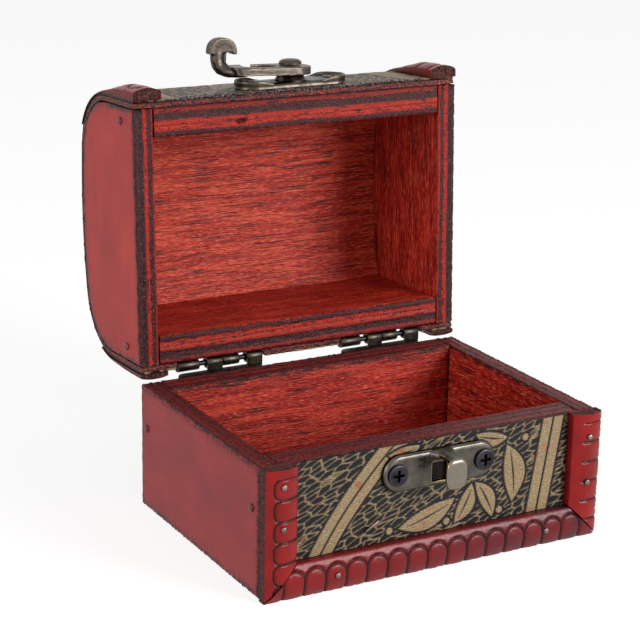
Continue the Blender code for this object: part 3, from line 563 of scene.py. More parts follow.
def ply_face(tree, patterns, cloud, grit, lumps, side, outer_tones):
    """Colour of a board's faces: bare veneer inside, cloudy lacquer outside, dark near the edges."""
    inner = stained_wood(tree, patterns, ("#94160d", "#ae2418", "#c83826"))
    outer = add(tree, "ValToRGB", {0: cloud}, stops=tuple(zip((0.22, 0.5, 0.78), outer_tones)))[0]
    streak = add(tree, "ValToRGB", {0: patterns[3]}, stops=((0.34, 0.26), (0.55, 0.0)))[0]
    speck = add(tree, "ValToRGB", {0: grit}, stops=((0.27, 0.7), (0.33, 0.0)))[0]
    outer = coated(tree, outer, (streak, srgb("#6c282c")), (speck, srgb("#3c1216")))
    stain = add(tree, "Attribute", attribute_name="stain")["Fac"]
    soaked = add(tree, "MapRange", {0: lumps, 1: 0.36, 2: 0.6, 3: 1.5, 4: 0.3})[0]
    soaked = add(tree, "Math", {0: stain, 1: soaked}, operation="MULTIPLY", use_clamp=True)[0]
    return coated(tree, inner, (side, outer), (soaked, srgb("#260c0d")))


def ply_edge(tree, depth, bands, grit, lumps, layers):
    """Colour of a sawn edge: wavy plies, crumbled holes painted near black as shade, pale dust partly painted as
    highlights, and the odd knot hole painted near black as its shade.
    """
    waved = add(tree, "MapRange", {0: grit, 1: 0.3, 2: 0.7, 3: -0.04, 4: 0.04})[0]
    bent = add(tree, "MapRange", {0: bands, 1: 0.3, 2: 0.7, 3: -0.03, 4: 0.03})[0]
    waved = add(tree, "Math", {0: waved, 1: bent}, operation="ADD")[0]
    waved = add(tree, "Math", {0: depth, 1: waved}, operation="ADD")[0]
    edge = add(tree, "ValToRGB", {0: waved}, stops=layers)[0]
    # Painted shade: near-black crumbs and hollows where the plies have crumbled
    crumb_shade = add(tree, "ValToRGB", {0: grit}, stops=((0.34, 0.85), (0.46, 0.0)))[0]
    hollow_shade = add(tree, "ValToRGB", {0: lumps}, stops=((0.34, 0.85), (0.45, 0.0)))[0]
    # Pale specks: partly dust, partly painted highlights on the crumbled fibres
    dust = add(tree, "ValToRGB", {0: grit}, stops=((0.58, 0.0), (0.72, 0.6)))[0]
    # Painted shade: the knot hole near black
    knot = add(tree, "Attribute", attribute_name="knot")["Fac"]
    knot = add(tree, "Math", {0: knot, 1: 1.0}, operation="MINIMUM")[0]
    edge = coated(tree, edge, (crumb_shade, srgb("#120507")), (hollow_shade, srgb("#1c080a")))
    return coated(tree, edge, (dust, srgb("#946266")), (knot, srgb("#120506")))


def stained_plywood(name, axis, outside, thickness, along, layers, outer_tones):
    """Birch ply under a red stain: open-grained inner veneer, cloudy outer one, dark sawn edges."""
    surface, tree, drawn = new_surface(name)
    patterns = grain(tree, drawn, along)
    pores, fibres, bands, brushed = patterns
    depth = depth_in_board(tree, drawn, axis, outside, thickness)
    side = add(tree, "MapRange", {0: depth, 1: 0.45, 2: 0.55, 3: 0.0, 4: 1.0})[0]
    place = sized(tree, drawn, STAIN_CLOUD)
    cloud = add(tree, "TexNoise", {"Vector": place, "Scale": 1.0, "Detail": 1.0})["Fac"]
    place = sized(tree, drawn, *CRUMB, along)
    grit = add(tree, "TexNoise", {"Vector": place, "Scale": 1.0, "Detail": 2.0})["Fac"]
    place = sized(tree, drawn, *HOLLOW, along)
    lumps = add(tree, "TexNoise", {"Vector": place, "Scale": 1.0, "Detail": 3.0})["Fac"]
    face = ply_face(tree, patterns, cloud, grit, lumps, side, outer_tones)
    edge = ply_edge(tree, depth, bands, grit, lumps, layers)

    normal = add(tree, "SeparateXYZ", {0: add(tree, "TexCoord")["Normal"]})["XYZ"[axis]]
    facing = add(tree, "Math", {0: normal}, operation="ABSOLUTE")[0]
    facing = add(tree, "MapRange", {0: facing, 1: 0.75, 2: 0.93, 3: 0.0, 4: 1.0})[0]
    colour = coated(tree, edge, (facing, face))
    texture = add(tree, "Math", {0: pores, 1: fibres}, operation="ADD")[0]
    brushed = add(tree, "Math", {0: brushed, 1: 0.06}, operation="MULTIPLY")[0]
    texture = add(tree, "Mix", {0: side, 2: texture, 3: brushed}, data_type="FLOAT")[0]
    torn = add(tree, "Math", {0: grit, 1: lumps}, operation="ADD")[0]
    height = add(tree, "Mix", {0: facing, 2: torn, 3: texture}, data_type="FLOAT")[0]
    bump = add(tree, "Bump", {"Height": height, "Strength": 0.8, "Distance": 0.25 * MM})[0]
    gloss = add(tree, "MapRange", {0: grit, 1: 0.3, 2: 0.7, 3: 0.36, 4: 0.58})[0]
    close_surface(tree, {
        "Base Color": colour, "Roughness": gloss, "Normal": bump,
        "IOR": STAIN_IOR, "Specular IOR Level": 0.22,
    })
    return surface


def stained_veneer(name):
    """Thin bent veneer: the lid's inside, orange red with broken dark pores along the box."""
    surface, tree, drawn = new_surface(name)
    patterns = grain(tree, drawn, 0)
    colour = stained_wood(tree, patterns, ("#a61d10", "#be311e", "#d2472d"))
    place = sized(tree, drawn, VENEER_GRIT)
    grit = add(tree, "TexNoise", {"Vector": place, "Scale": 1.0, "Detail": 4.0})["Fac"]
    stain = add(tree, "Attribute", attribute_name="stain")["Fac"]
    soaked = add(tree, "MapRange", {0: grit, 1: 0.35, 2: 0.6, 3: 1.3, 4: 0.5})[0]
    soaked = add(tree, "Math", {0: stain, 1: soaked}, operation="MULTIPLY", use_clamp=True)[0]
    colour = coated(tree, colour, (soaked, srgb("#1e0b0c")))
    height = add(tree, "Math", {0: patterns[0], 1: patterns[1]}, operation="ADD")[0]
    bump = add(tree, "Bump", {"Height": height, "Strength": 0.8, "Distance": 0.25 * MM})[0]
    close_surface(tree, {
        "Base Color": colour, "Roughness": 0.48, "Normal": bump,
        "IOR": STAIN_IOR, "Specular IOR Level": 0.32,
    })
    return surface


def carved_paint(name):
    """Carved softwood under red lacquer: burgundy left in the cuts, with painted shade spread round the lobes and
    in the pits of the sawn faces, dusty violet where it is rubbed.
    """
    surface, tree, drawn = new_surface(name)
    cut = add(tree, "Attribute", attribute_name="cut")["Fac"]
    raw = add(tree, "Attribute", attribute_name="raw")["Fac"]
    dusty = add(tree, "Attribute", attribute_name="dusty")["Fac"]
    place = sized(tree, drawn, LACQUER_CLOUD)
    cloud = add(tree, "TexNoise", {"Vector": place, "Scale": 1.0, "Detail": 1.0})["Fac"]
    place = sized(tree, drawn, LACQUER_GRIT)
    grit = add(tree, "TexNoise", {"Vector": place, "Scale": 1.0, "Detail": 3.0})["Fac"]
    place = sized(tree, drawn, LACQUER_PIT)
    lumps = add(tree, "TexNoise", {"Vector": place, "Scale": 1.0, "Detail": 2.0})["Fac"]
    red = add(tree, "ValToRGB", {0: cloud}, stops=((0.3, "#821315"), (0.5, "#8e1615"), (0.7, "#9a1b18")))[0]
    patchy = add(tree, "MapRange", {0: cloud, 1: 0.38, 2: 0.6, 3: 0.5, 4: 1.2})[0]
    dusty = add(tree, "Math", {0: dusty, 1: patchy}, operation="MULTIPLY", use_clamp=True)[0]
    sawn = add(tree, "ValToRGB", {0: grit}, stops=((0.4, "#1c0c0d"), (0.5, "#451d1c"), (0.62, "#7c4c46")))[0]
    # Painted shade: near-black pits in the sawn faces
    hole_shade = add(tree, "ValToRGB", {0: lumps}, stops=((0.36, 0.95), (0.46, 0.0)))[0]
    sawn = coated(tree, sawn, (hole_shade, srgb("#0e0506")))
    colour = coated(tree, red, (dusty, srgb("#40202a")), (cut, srgb("#22080c")), (raw, sawn))
    gloss = add(tree, "MapRange", {0: raw, 3: 0.28, 4: 0.75})[0]
    height = add(tree, "MapRange", {0: raw, 3: 0.02, 4: 1.0})[0]
    height = add(tree, "Math", {0: grit, 1: height}, operation="MULTIPLY")[0]
    bump = add(tree, "Bump", {"Height": height, "Strength": 0.8, "Distance": 0.4 * MM})[0]
    close_surface(tree, {
        "Base Color": colour, "Roughness": gloss, "Normal": bump,
        "IOR": STAIN_IOR, "Specular IOR Level": 0.22,
    })
    return surface


def embossed_paper(name):
    """Ribbed paper pressed with a vein net: dull gold on the raised parts, charcoal between them, painted darker
    in the valleys of the ribs as shade.

    The ribs are drawn half as coarse again as the real ones, so that they show."""
    surface, tree, drawn = new_surface(name)
    gold = add(tree, "Attribute", attribute_name="gold")["Fac"]
    line = add(tree, "Attribute", attribute_name="line")["Fac"]
    place = sized(tree, drawn, PAPER_GRIT)
    grit = add(tree, "TexNoise", {"Vector": place, "Scale": 1.0, "Detail": 4.0})["Fac"]
    place = sized(tree, drawn, RUST_PATCH)
    patches = add(tree, "TexNoise", {"Vector": place, "Scale": 1.0, "Detail": 3.0})["Fac"]
    ribs = add(tree, "TexWave", {
        "Vector": drawn, "Scale": 2 * math.pi / (20 * PAPER_RIB), "Distortion": 1.2, "Detail": 1.0,
    }, bands_direction="Z")["Fac"]
    tone = add(tree, "ValToRGB", {0: grit}, stops=((0.2, "#80694c"), (0.5, "#a18b69"), (0.8, "#bda988")))[0]
    # Painted shade in the valleys between the ribs
    valley_shade = add(tree, "MapRange", {0: ribs, 1: 0.15, 2: 0.6, 3: 0.4, 4: 0.0})[0]
    rust = add(tree, "ValToRGB", {0: patches}, stops=((0.62, 0.0), (0.74, 0.6)))[0]
    tone = coated(tree, tone, (valley_shade, srgb("#5c4a36")), (rust, srgb("#a04a26")))
    colour = coated(tree, srgb("#151417"), (gold, tone), (line, srgb("#0b0a0c")))
    height = add(tree, "Math", {0: ribs, 1: grit}, operation="ADD")[0]
    bump = add(tree, "Bump", {"Height": height, "Strength": 0.35, "Distance": 0.08 * MM})[0]
    close_surface(tree, {
        "Base Color": colour, "Roughness": 0.44, "Normal": bump,
        "IOR": PAPER_IOR, "Specular IOR Level": 0.22,
    })
    return surface


def torn_fibre(name):
    """Lint of torn paper: off-white where the core shows, dark where the print still clings."""
    surface, tree, drawn = new_surface(name)
    place = sized(tree, drawn, TORN_GRIT)
    grit = add(tree, "TexNoise", {"Vector": place, "Scale": 1.0, "Detail": 2.0})["Fac"]
    stops = ((0.42, "#1d1518"), (0.52, "#5c4648"), (0.62, "#a89a98"))
    tone = add(tree, "ValToRGB", {0: grit}, stops=stops)[0]
    close_surface(tree, {"Base Color": tone, "Roughness": 0.8, "IOR": PAPER_IOR})
    return surface


def antique_metal(name, field, edge, recess, roughness):
    """Aged casting, plate or steel: brighter where it is rubbed, nearly black in the hollows and where shade is
    painted on.
    """
    surface, tree, drawn = new_surface(name)
    wear = add(tree, "Attribute", attribute_name="wear")["Fac"]
    polish = add(tree, "Attribute", attribute_name="polish")["Fac"]
    grime = add(tree, "Attribute", attribute_name="grime")["Fac"]
    place = sized(tree, drawn, METAL_GRIT)
    grit = add(tree, "TexNoise", {"Vector": place, "Scale": 1.0, "Detail": 4.0})["Fac"]
    place = sized(tree, drawn, METAL_CLOUD)
    cloud = add(tree, "TexNoise", {"Vector": place, "Scale": 1.0, "Detail": 2.0})["Fac"]
    tone = add(tree, "ValToRGB", {0: cloud}, stops=tuple(zip((0.35, 0.65), field)))[0]
    shaken = add(tree, "MapRange", {0: grit, 1: 0.3, 2: 0.7, 3: -0.09, 4: 0.09})[0]
    shaken = add(tree, "Math", {0: wear, 1: shaken}, operation="ADD")[0]
    rubbed = add(tree, "MapRange", {0: shaken, 1: 0.22, 2: 0.75, 3: 0.0, 4: 1.0})[0]
    hollow = add(tree, "MapRange", {0: shaken, 1: -0.1, 2: -0.4, 3: 0.0, 4: 1.0})[0]
    colour = coated(tree, tone, (polish, srgb("#7f776c")), (rubbed, srgb(edge)))
    # Painted shade: near black at the catch's foot and on its window sheet
    colour = coated(tree, colour, (hollow, srgb(recess)), (grime, srgb("#0d0b0a")))
    gloss = add(tree, "MapRange", {0: grit, 1: 0.3, 2: 0.7, 3: roughness - 0.08, 4: roughness + 0.1})[0]
    bump = add(tree, "Bump", {"Height": grit, "Strength": 0.2, "Distance": 0.08 * MM})[0]
    close_surface(tree, {"Base Color": colour, "Roughness": gloss, "Metallic": 1.0, "Normal": bump})
    return surface


# Plies in a sawn edge, by their depth from the inner face to the outer one: the lid's ends, the
# lid's walls, and the rim of the base
END_LAYERS = (
    (0.0, "#9c1e17"), (0.1, "#a8241a"), (0.14, "#3a0e10"), (0.33, "#481414"), (0.37, "#ac2016"),
    (0.42, "#bc2a18"), (0.54, "#a62014"), (0.59, "#300d10"), (0.72, "#260b0e"), (0.9, "#441819"),
    (1.0, "#260b0d"),
)
WALL_LAYERS = (
    (0.0, "#4a1214"), (0.18, "#401012"), (0.22, "#a8200f"), (0.33, "#c4301a"), (0.37, "#541010"),
    (0.41, "#c4341c"), (0.54, "#a42414"), (0.58, "#3a1012"), (0.8, "#441416"), (0.85, "#9c2418"),
    (1.0, "#50120f"),
)
RIM_LAYERS = (
    (0.0, "#521614"), (0.2, "#641c19"), (0.3, "#401214"), (0.42, "#92241d"), (0.5, "#4c1416"),
    (0.7, "#6c201d"), (0.78, "#962820"), (0.85, "#461315"), (1.0, "#5e1a1a"),
)
SIDE_TONES = ("#86252a", "#972c2e", "#a53233")
LID_SIDE_TONES = ("#9e2624", "#b12e2a", "#be362e")

base_end_ply = stained_plywood("stained_ply_ends", 0, SIDE, END_THICKNESS, 1, RIM_LAYERS, SIDE_TONES)
base_wall_ply = stained_plywood("stained_ply_walls", 1, BACK, WALL_THICKNESS, 0, RIM_LAYERS, SIDE_TONES)
floor_ply = stained_plywood("stained_ply_floor", 2, 0.0, -FLOOR_THICKNESS, 0, RIM_LAYERS, SIDE_TONES)
lid_end_ply = stained_plywood("stained_ply_lid_ends", 0, SIDE, END_THICKNESS, 1, END_LAYERS, LID_SIDE_TONES)
lid_wall_ply = stained_plywood("stained_ply_lid_walls", 1, BACK, WALL_THICKNESS, 0, WALL_LAYERS, SIDE_TONES)
dome_veneer = stained_veneer("stained_bent_veneer")
red_carving = carved_paint("red_lacquered_carving")
gold_paper = embossed_paper("embossed_gold_paper")
paper_fibre = torn_fibre("torn_paper_fibre")

# The catch is a warm grey with rubbed, brassy edges; the hook and the latch plate are darker and
# more even; the hinges are nearly black with a dull gold edge. The screws look blued, the brads
# in the strips are bare and dull, and the corner nails still carry the red of the lacquer.
pewter = antique_metal("antique_pewter", ("#4c4843", "#645e57"), "#9c8452", "#151311", 0.3)
hook_pewter = antique_metal("rubbed_pewter", ("#413b36", "#574e47"), "#635947", "#14110f", 0.36)
hinge_metal = antique_metal("aged_brass_plate", ("#36322e", "#4c453b"), "#8a7550", "#100e0d", 0.34)
screw_steel = antique_metal("blackened_steel", ("#29282c", "#38363b"), "#6a666c", "#09080a", 0.38)
dull_steel = antique_metal("dulled_steel", ("#69615c", "#857c76"), "#aaa29a", "#2c2624", 0.42)
painted_steel = antique_metal("overpainted_steel", ("#5c3433", "#6e4543"), "#a58f89", "#2a1413", 0.4)

slot_surfaces = {
    "end_ply": base_end_ply,
    "red_ply": base_wall_ply,
    "dome_veneer": dome_veneer,
    "embossed_paper": gold_paper,
    "carved_trim": red_carving,
    "aged_metal": pewter,
    "hinge_metal": hinge_metal,
    "steel": screw_steel,
}
for node, item in frame["nodes"].items():
    item.data.materials.clear()
    item.data.materials.append(slot_surfaces[node_slots[node]])


# Boards

def rounded_ring(width, height, radius, counts):
    """Points round a rectangle with round corners; counts are the points inside each side."""
    right, top = width - radius, height - radius
    places = ((right, radius), (right, top), (radius, top), (radius, radius))
    points = []
    for corner, ((x, y), count) in enumerate(zip(places, counts)):
        angle = math.radians(90 * corner)
        turns = [angle + turn - math.pi / 2 for turn in CORNER_TURNS]
        arc = [(x + radius * math.cos(turn), y + radius * math.sin(turn)) for turn in turns]
        points += arc
        next_x, next_y = places[(corner + 1) % 4]
        end = (next_x + radius * math.cos(angle), next_y + radius * math.sin(angle))
        for i in range(1, count + 1):
            share = i / (count + 1)
            points.append(tuple(a + (b - a) * share for a, b in zip(arc[-1], end)))
    return points


def edge_stations(length, radius, step):
    """Places along a board with its rounded ends, each with the inset of its outline."""
    first = [(radius * (1 - math.cos(turn)), radius * (1 - math.sin(turn))) for turn in CORNER_TURNS]
    middle = [(place, 0.0) for place in spread(radius, length - radius, step)[1:-1]]
    return first + middle + [(length - place, inset) for place, inset in reversed(first)]


def ply_hollow(depth):
    """How far the sawn cross-plies lie back between the outer veneers, from 0 to 1."""
    return np.interp(depth, PLY_LINES, PLY_HOLLOWS)


def frayed(points, seed):
    """How far sawn fibres have broken away at each point, from about 0 to 1."""
    coarse = rough(points, FRAY_SIZE, seed)
    fine = rough(points, FINE_FRAY_SIZE, seed)
    return np.clip(FRAY_LEVEL + COARSE_FRAY * coarse + FINE_FRAY * fine, 0, None)


def ply_sink(points, depth):
    """How far the sawn edge lies back at each point: crumbling cross-plies, shallow saw ripple."""
    coarse, fine = CRUMBLE_SIZES
    lumps = COARSE_CRUMBLE * rough(points, coarse, seed=3.1)
    crumble = CRUMBLE_LEVEL + lumps + FINE_CRUMBLE * rough(points, fine, seed=1.7)
    ripple = PLY_RIPPLE * rough(points, RIPPLE_SIZE, seed=5.2)
    return PLY_RECESS * np.clip(ply_hollow(depth) * crumble + PLY_LEVEL + ripple, 0, None)


def weathered(points, low, high, thick):
    """Frays a board's sawn edges and sinks its cross-plies; thick is the axis across it.
    Also gives how deep the stain has soaked in from the edges, from 0 to 1."""
    gaps = np.minimum(points - low, high - points)
    inward = np.sign((low + high) / 2 - points)
    second_gap = np.sort(gaps, axis=-1)[..., 1]
    near = np.exp(-(second_gap / EDGE_REACH) ** 2)
    moved = points.copy()
    for axis in range(3):
        loose = near * (gaps[..., axis] < EDGE_REACH)
        moved[..., axis] += inward[..., axis] * FRAY * frayed(points, seed=AXIS_SEED * axis) * loose
    depth = np.abs(points[..., thick] - low[thick]) / (high - low)[thick]
    if low[thick] < 0:
        depth = 1 - depth
    facing = np.argmin(gaps, axis=-1)
    sink = ply_sink(points, depth) * (facing != thick)
    for axis in range(3):
        moved[..., axis] += inward[..., axis] * sink * (facing == axis)
    return moved, np.exp(-(second_gap / STAIN_REACH) ** 2)


def make_board(node, thick, along, surface, reach=(0.0, 0.0, 0.0)):
    """A plywood board in a node's place: thick and along are the axes across it and its length.
    Reach is how far it enters the boards beside it, so that no light shows through the joints."""
    low, high = drawn_box(node)
    low, high = low - np.array(reach), high + np.array(reach)
    third = 3 - thick - along
    size = high - low
    face_points = max(4, int(size[third] / FACE_STEP))
    rings = []
    for place, inset in edge_stations(size[along], EDGE_RADIUS, BOARD_STEP):
        outline = rounded_ring(
            size[thick] - 2 * inset, size[third] - 2 * inset, EDGE_RADIUS - CORNER_LOSS * inset,
            (face_points, EDGE_POINTS, face_points, EDGE_POINTS),
        )
        ring = np.empty((len(outline), 3))
        ring[:, thick] = [low[thick] + inset + a for a, _ in outline]
        ring[:, third] = [low[third] + inset + b for _, b in outline]
        ring[:, along] = low[along] + place
        rings.append(ring)
    rings, stain = weathered(np.array(rings), low, high, thick)
    return loft(f"worn_{node}", rings, surface, [node], {"stain": stain})


def make_base_boards():
    """The base's ends, front, back and floor."""
    for side_name in ("left", "right"):
        make_board(f"base_{side_name}_end", 0, 1, base_end_ply)
    for end_name in ("front", "back"):
        make_board(f"base_{end_name}_panel", 1, 0, base_wall_ply, PANEL_REACH)
    make_board("base_bottom_panel", 2, 0, floor_ply, FLOOR_REACH)


# Lid

HALF_CROWN = math.asin((BACK - SHOULDER_RADIUS) / (CROWN_RADIUS - SHOULDER_RADIUS))
SHOULDER_RUN = SHOULDER_RADIUS * (math.pi / 2 - HALF_CROWN)
DOME_LENGTH = 2 * (LID_SIDE_HEIGHT + SHOULDER_RUN + CROWN_RADIUS * HALF_CROWN)


def dome_line(runs):
    """Points (y, z) at these distances along the dome from the front rim, and normals."""
    centre_y = FRONT + SHOULDER_RADIUS
    half = DOME_LENGTH / 2
    crown_z = LID_SIDE_HEIGHT - (CROWN_RADIUS - SHOULDER_RADIUS) * math.cos(HALF_CROWN)
    points = []
    normals = []
    for run in runs:
        turned = run > half
        run = 2 * half - run if turned else run
        if run <= LID_SIDE_HEIGHT:
            y, z, out_y, out_z = FRONT, run, -1.0, 0.0
        elif run <= LID_SIDE_HEIGHT + SHOULDER_RUN:
            angle = (run - LID_SIDE_HEIGHT) / SHOULDER_RADIUS
            out_y, out_z = -math.cos(angle), math.sin(angle)
            y, z = centre_y + SHOULDER_RADIUS * out_y, LID_SIDE_HEIGHT + SHOULDER_RADIUS * out_z
        else:
            angle = (half - run) / CROWN_RADIUS
            out_y, out_z = -math.sin(angle), math.cos(angle)
            y, z = CROWN_RADIUS * out_y, crown_z + CROWN_RADIUS * out_z
        mirror = -1 if turned else 1
        points.append((mirror * y, LID_RIM + z))
        normals.append((mirror * out_y, out_z))
    return np.array(points), np.array(normals)


def end_outline(points, normals, rim_y, inset):
    """The outline (y, z) of the lid's end drawn in by this much: its dome, then its straight rim."""
    curve = points - normals * inset
    curve[:, 1] = np.maximum(curve[:, 1], LID_RIM + inset)
    rim_z = np.full(len(rim_y), LID_RIM + inset)
    rim = np.stack([np.clip(rim_y, FRONT + inset, BACK - inset), rim_z], axis=1)
    return np.concatenate([curve, rim])


def make_lid_end(node, surface):
    """Dome-shaped ply end: its sawn rim shows, the curved edge lies under the veneer."""
    low, high = drawn_box(node)
    thickness = high[0] - low[0]
    points, normals = dome_line(spread(0, DOME_LENGTH, DOME_STEP))
    rim_y = spread(FRONT, BACK, RIM_STEP)[-2:0:-1]
    inward = np.concatenate([-normals, np.tile((0.0, 1.0), (len(rim_y), 1))])
    rings = []
    stains = []
    for place, inset in edge_stations(thickness, EDGE_RADIUS, LID_END_STEP):
        depth = place / thickness
        if low[0] < 0:
            depth = 1 - depth
        across = min(place, thickness - place)
        near = math.exp(-(across / EDGE_REACH) ** 2)
        ring = np.insert(end_outline(points, normals, rim_y, inset), 0, low[0] + place, axis=1)
        sink = FRAY * frayed(ring, seed=4.4) * near + ply_sink(ring, depth)
        ring[:, 1:] += inward * sink[:, None]
        rings.append(ring)
        strength = INNER_STAIN if depth < 0.5 else 1.0
        stains.append(np.full(len(ring), strength * math.exp(-(across / STAIN_REACH) ** 2)))
    faces = []
    for end, strength in ((0, INNER_STAIN if low[0] > 0 else 1.0), (-1, 1.0 if low[0] > 0 else INNER_STAIN)):
        face_rings = []
        face_stains = []
        for inset in FACE_INSETS:
            ring = rings[end].copy()
            ring[:, 1:] = end_outline(points, normals, rim_y, inset)
            face_rings.append(ring)
            face_stains.append(np.full(len(ring), strength * math.exp(-(inset / STAIN_REACH) ** 2)))
        middle = ring.mean(axis=0)
        face_rings += [middle + (ring - middle) * share for share in FACE_SHARES]
        face_stains += [np.zeros(len(ring))] * len(FACE_SHARES)
        faces.append((face_rings, face_stains))
    (near_rings, near_stains), (far_rings, far_stains) = faces
    rings = near_rings[::-1] + rings + far_rings
    stains = near_stains[::-1] + stains + far_stains
    return loft(f"worn_{node}", rings, surface, [node], {"stain": np.array(stains)})


def make_lid_wall(node, turned, surface):
    """Ply wall between the lid's ends, its top rounded under the veneer."""
    low, high = drawn_box(node)
    reach = SHOULDER_RADIUS * math.acos(1 - WALL_THICKNESS / SHOULDER_RADIUS)
    curve = dome_line(spread(EDGE_RADIUS, LID_SIDE_HEIGHT + reach, LID_WALL_STEP))[0]
    inner = FRONT + WALL_THICKNESS
    depth = np.linspace(0, 1, WALL_POINTS)
    shaped = np.clip(np.minimum(depth, 1 - depth) * WALL_THICKNESS / EDGE_RADIUS, 0, 1)
    lift = EDGE_RADIUS * (1 - np.sqrt(1 - (1 - shaped) ** 2))
    edge_gap = np.minimum(depth, 1 - depth) * WALL_THICKNESS
    rings = []
    stains = []
    for x in spread(low[0], high[0], BOARD_STEP):
        rim = np.stack([np.full(WALL_POINTS, x), inner - depth * WALL_THICKNESS, LID_RIM + lift], axis=1)
        loose = np.exp(-(edge_gap / EDGE_REACH) ** 2)
        rim[:, 2] += FRAY * frayed(rim, seed=2.2) * loose + ply_sink(rim, depth)
        away = (depth - KNOT_DEPTH_SHARE) * WALL_THICKNESS / KNOT_SIZE[1]
        hole = np.exp(-((x - KNOT_X) / KNOT_SIZE[0]) ** 4 - away ** 4) * (turned > 0)
        rim[:, 2] += KNOT_SINK * hole
        outer = np.stack([np.full(len(curve), x), curve[:, 0], curve[:, 1]], axis=1)
        top = outer[-1][2]
        heights = np.linspace(top, LID_RIM + WALL_BACK_LIFT, WALL_BACK_POINTS + 1)[1:]
        back = np.stack([np.full(WALL_BACK_POINTS, x), np.full(WALL_BACK_POINTS, inner), heights], axis=1)
        ring = np.concatenate([rim, outer, back])
        ring[:, 1] *= turned
        rings.append(ring)
        # The knot hole's painted shade, kept for the edge's colour
        stains.append(np.concatenate([KNOT_HOLE_SHADE * hole, np.zeros(len(ring) - len(rim))]))
    return loft(f"worn_{node}", rings, surface, [node], {"knot": np.array(stains)})


def notch_reach(x, margin):
    """How far the skin stops short of the back rim at x, to clear an upper hinge leaf."""
    for side_name in ("left", "right"):
        low, high = drawn_box(f"hinge_{side_name}_lid_leaf")
        if low[0] - margin < x < high[0] + margin:
            return high[2] + margin - LID_RIM
    return 0.0


def skin_columns(side, step, margin):
    """Places across the lid, with a pair at each edge of the notches for the hinges."""
    places = list(spread(-side, side, step))
    for side_name in ("left", "right"):
        low, high = drawn_box(f"hinge_{side_name}_lid_leaf")
        for x in (low[0] - margin, high[0] + margin):
            places += [x - NOTCH_HAIR, x + NOTCH_HAIR]
    return sorted(places)


def skin_runs(start, end, step):
    """Distances along the dome; only the last of them are drawn in where the skin is notched."""
    shared = DOME_LENGTH - NOTCH_BAND
    near = np.linspace(start, RIM_BAND, RIM_POINTS)[:-1]
    middle = spread(RIM_BAND, shared, step)[:-1]
    return np.concatenate([near, middle, np.linspace(shared, end, NOTCH_POINTS)])


def make_dome_sheet():
    """Bent veneer under the paper: its frayed edges show all round the lid."""
    rings = []
    for x in skin_columns(SIDE, SHEET_COLUMN_STEP, LEAF_MARGIN):
        runs = skin_runs(0.0, DOME_LENGTH - notch_reach(x, LEAF_MARGIN), SHEET_RUN_STEP)
        points, normals = dome_line(runs)
        outer = points + normals * (GLUE_GAP + SHEET_THICKNESS)
        inner = (points + normals * GLUE_GAP)[::-1]
        ring = np.empty((2 * len(runs), 3))
        ring[:, 0] = x
        ring[:, 1:] = np.concatenate([outer, inner])
        rings.append(ring)
    rings = np.array(rings)
    side_gap = SIDE - np.abs(rings[..., 0])
    fray = SHEET_FRAY * frayed(rings, seed=2.0)
    rings[..., 0] -= np.sign(rings[..., 0]) * fray * np.exp(-(side_gap / EDGE_REACH) ** 2)
    rim_gap = rings[..., 2] - LID_RIM
    rings[..., 2] += fray * np.exp(-(rim_gap / EDGE_REACH) ** 2)
    stain = np.exp(-(np.minimum(side_gap, rim_gap) / STAIN_REACH) ** 2)
    return loft("bent_veneer", rings, dome_veneer, ["dome_sheet"], {"stain": stain})


# Embossed paper

# Large uneven factors that scatter neighbouring cells, and a distance past any cell or leaf
SCATTER = (127.1, 311.7, 74.7)
SCATTER_SPREAD = 43758.5453
FAR_OFF = 9.0


def hashed(cells, salt):
    """A fixed pseudo-random share from 0 to 1 for each whole-numbered cell."""
    turned = cells[..., 0] * SCATTER[0] + cells[..., 1] * SCATTER[1] + salt * SCATTER[2]
    mixed = np.sin(turned) * SCATTER_SPREAD
    return mixed - np.floor(mixed)


def vein_net(across, along, lean, width, length, line):
    """Raised veins between long leaning cells, from 0 to 1; sizes in millimetres."""
    turn = math.radians(lean)
    a = (across * math.sin(turn) + along * math.cos(turn)) / length
    b = (across * math.cos(turn) - along * math.sin(turn)) / width
    home = np.stack([np.floor(a), np.floor(b)], axis=-1)
    nearest = np.full(a.shape, FAR_OFF)
    second = np.full(a.shape, FAR_OFF)
    for i in (-1, 0, 1):
        for j in (-1, 0, 1):
            cell = home + (i, j)
            ahead = cell[..., 0] + hashed(cell, 1.0) - a
            aside = cell[..., 1] + hashed(cell, 2.0) - b
            reach = np.hypot(ahead, aside)
            second = np.minimum(second, np.maximum(nearest, reach))
            nearest = np.minimum(nearest, reach)
    return np.clip(VEIN_LEVEL - (second - nearest) * width / line, 0, 1)


def soft_step(distance, blur):
    """From 0 outside to 1 inside an outline, over a blur in the distance's own unit."""
    return np.clip(0.5 + distance / blur, 0, 1)


def add_band(fields, across, middle, slope, half, groove, blur):
    """Twin gold ribbons beside a dark groove; middle and slope give the band's line."""
    distance = (across - middle) / np.sqrt(1 + slope ** 2)
    gold = soft_step(half - np.abs(distance), blur)
    border = soft_step(BAND_BORDER + half - np.abs(distance), blur)
    fields["gold"] = np.maximum(fields["gold"] * (1 - border), gold)
    line = soft_step(groove / 2 - np.abs(distance), blur)
    fields["line"] = np.maximum(fields["line"] * (1 - gold), line)


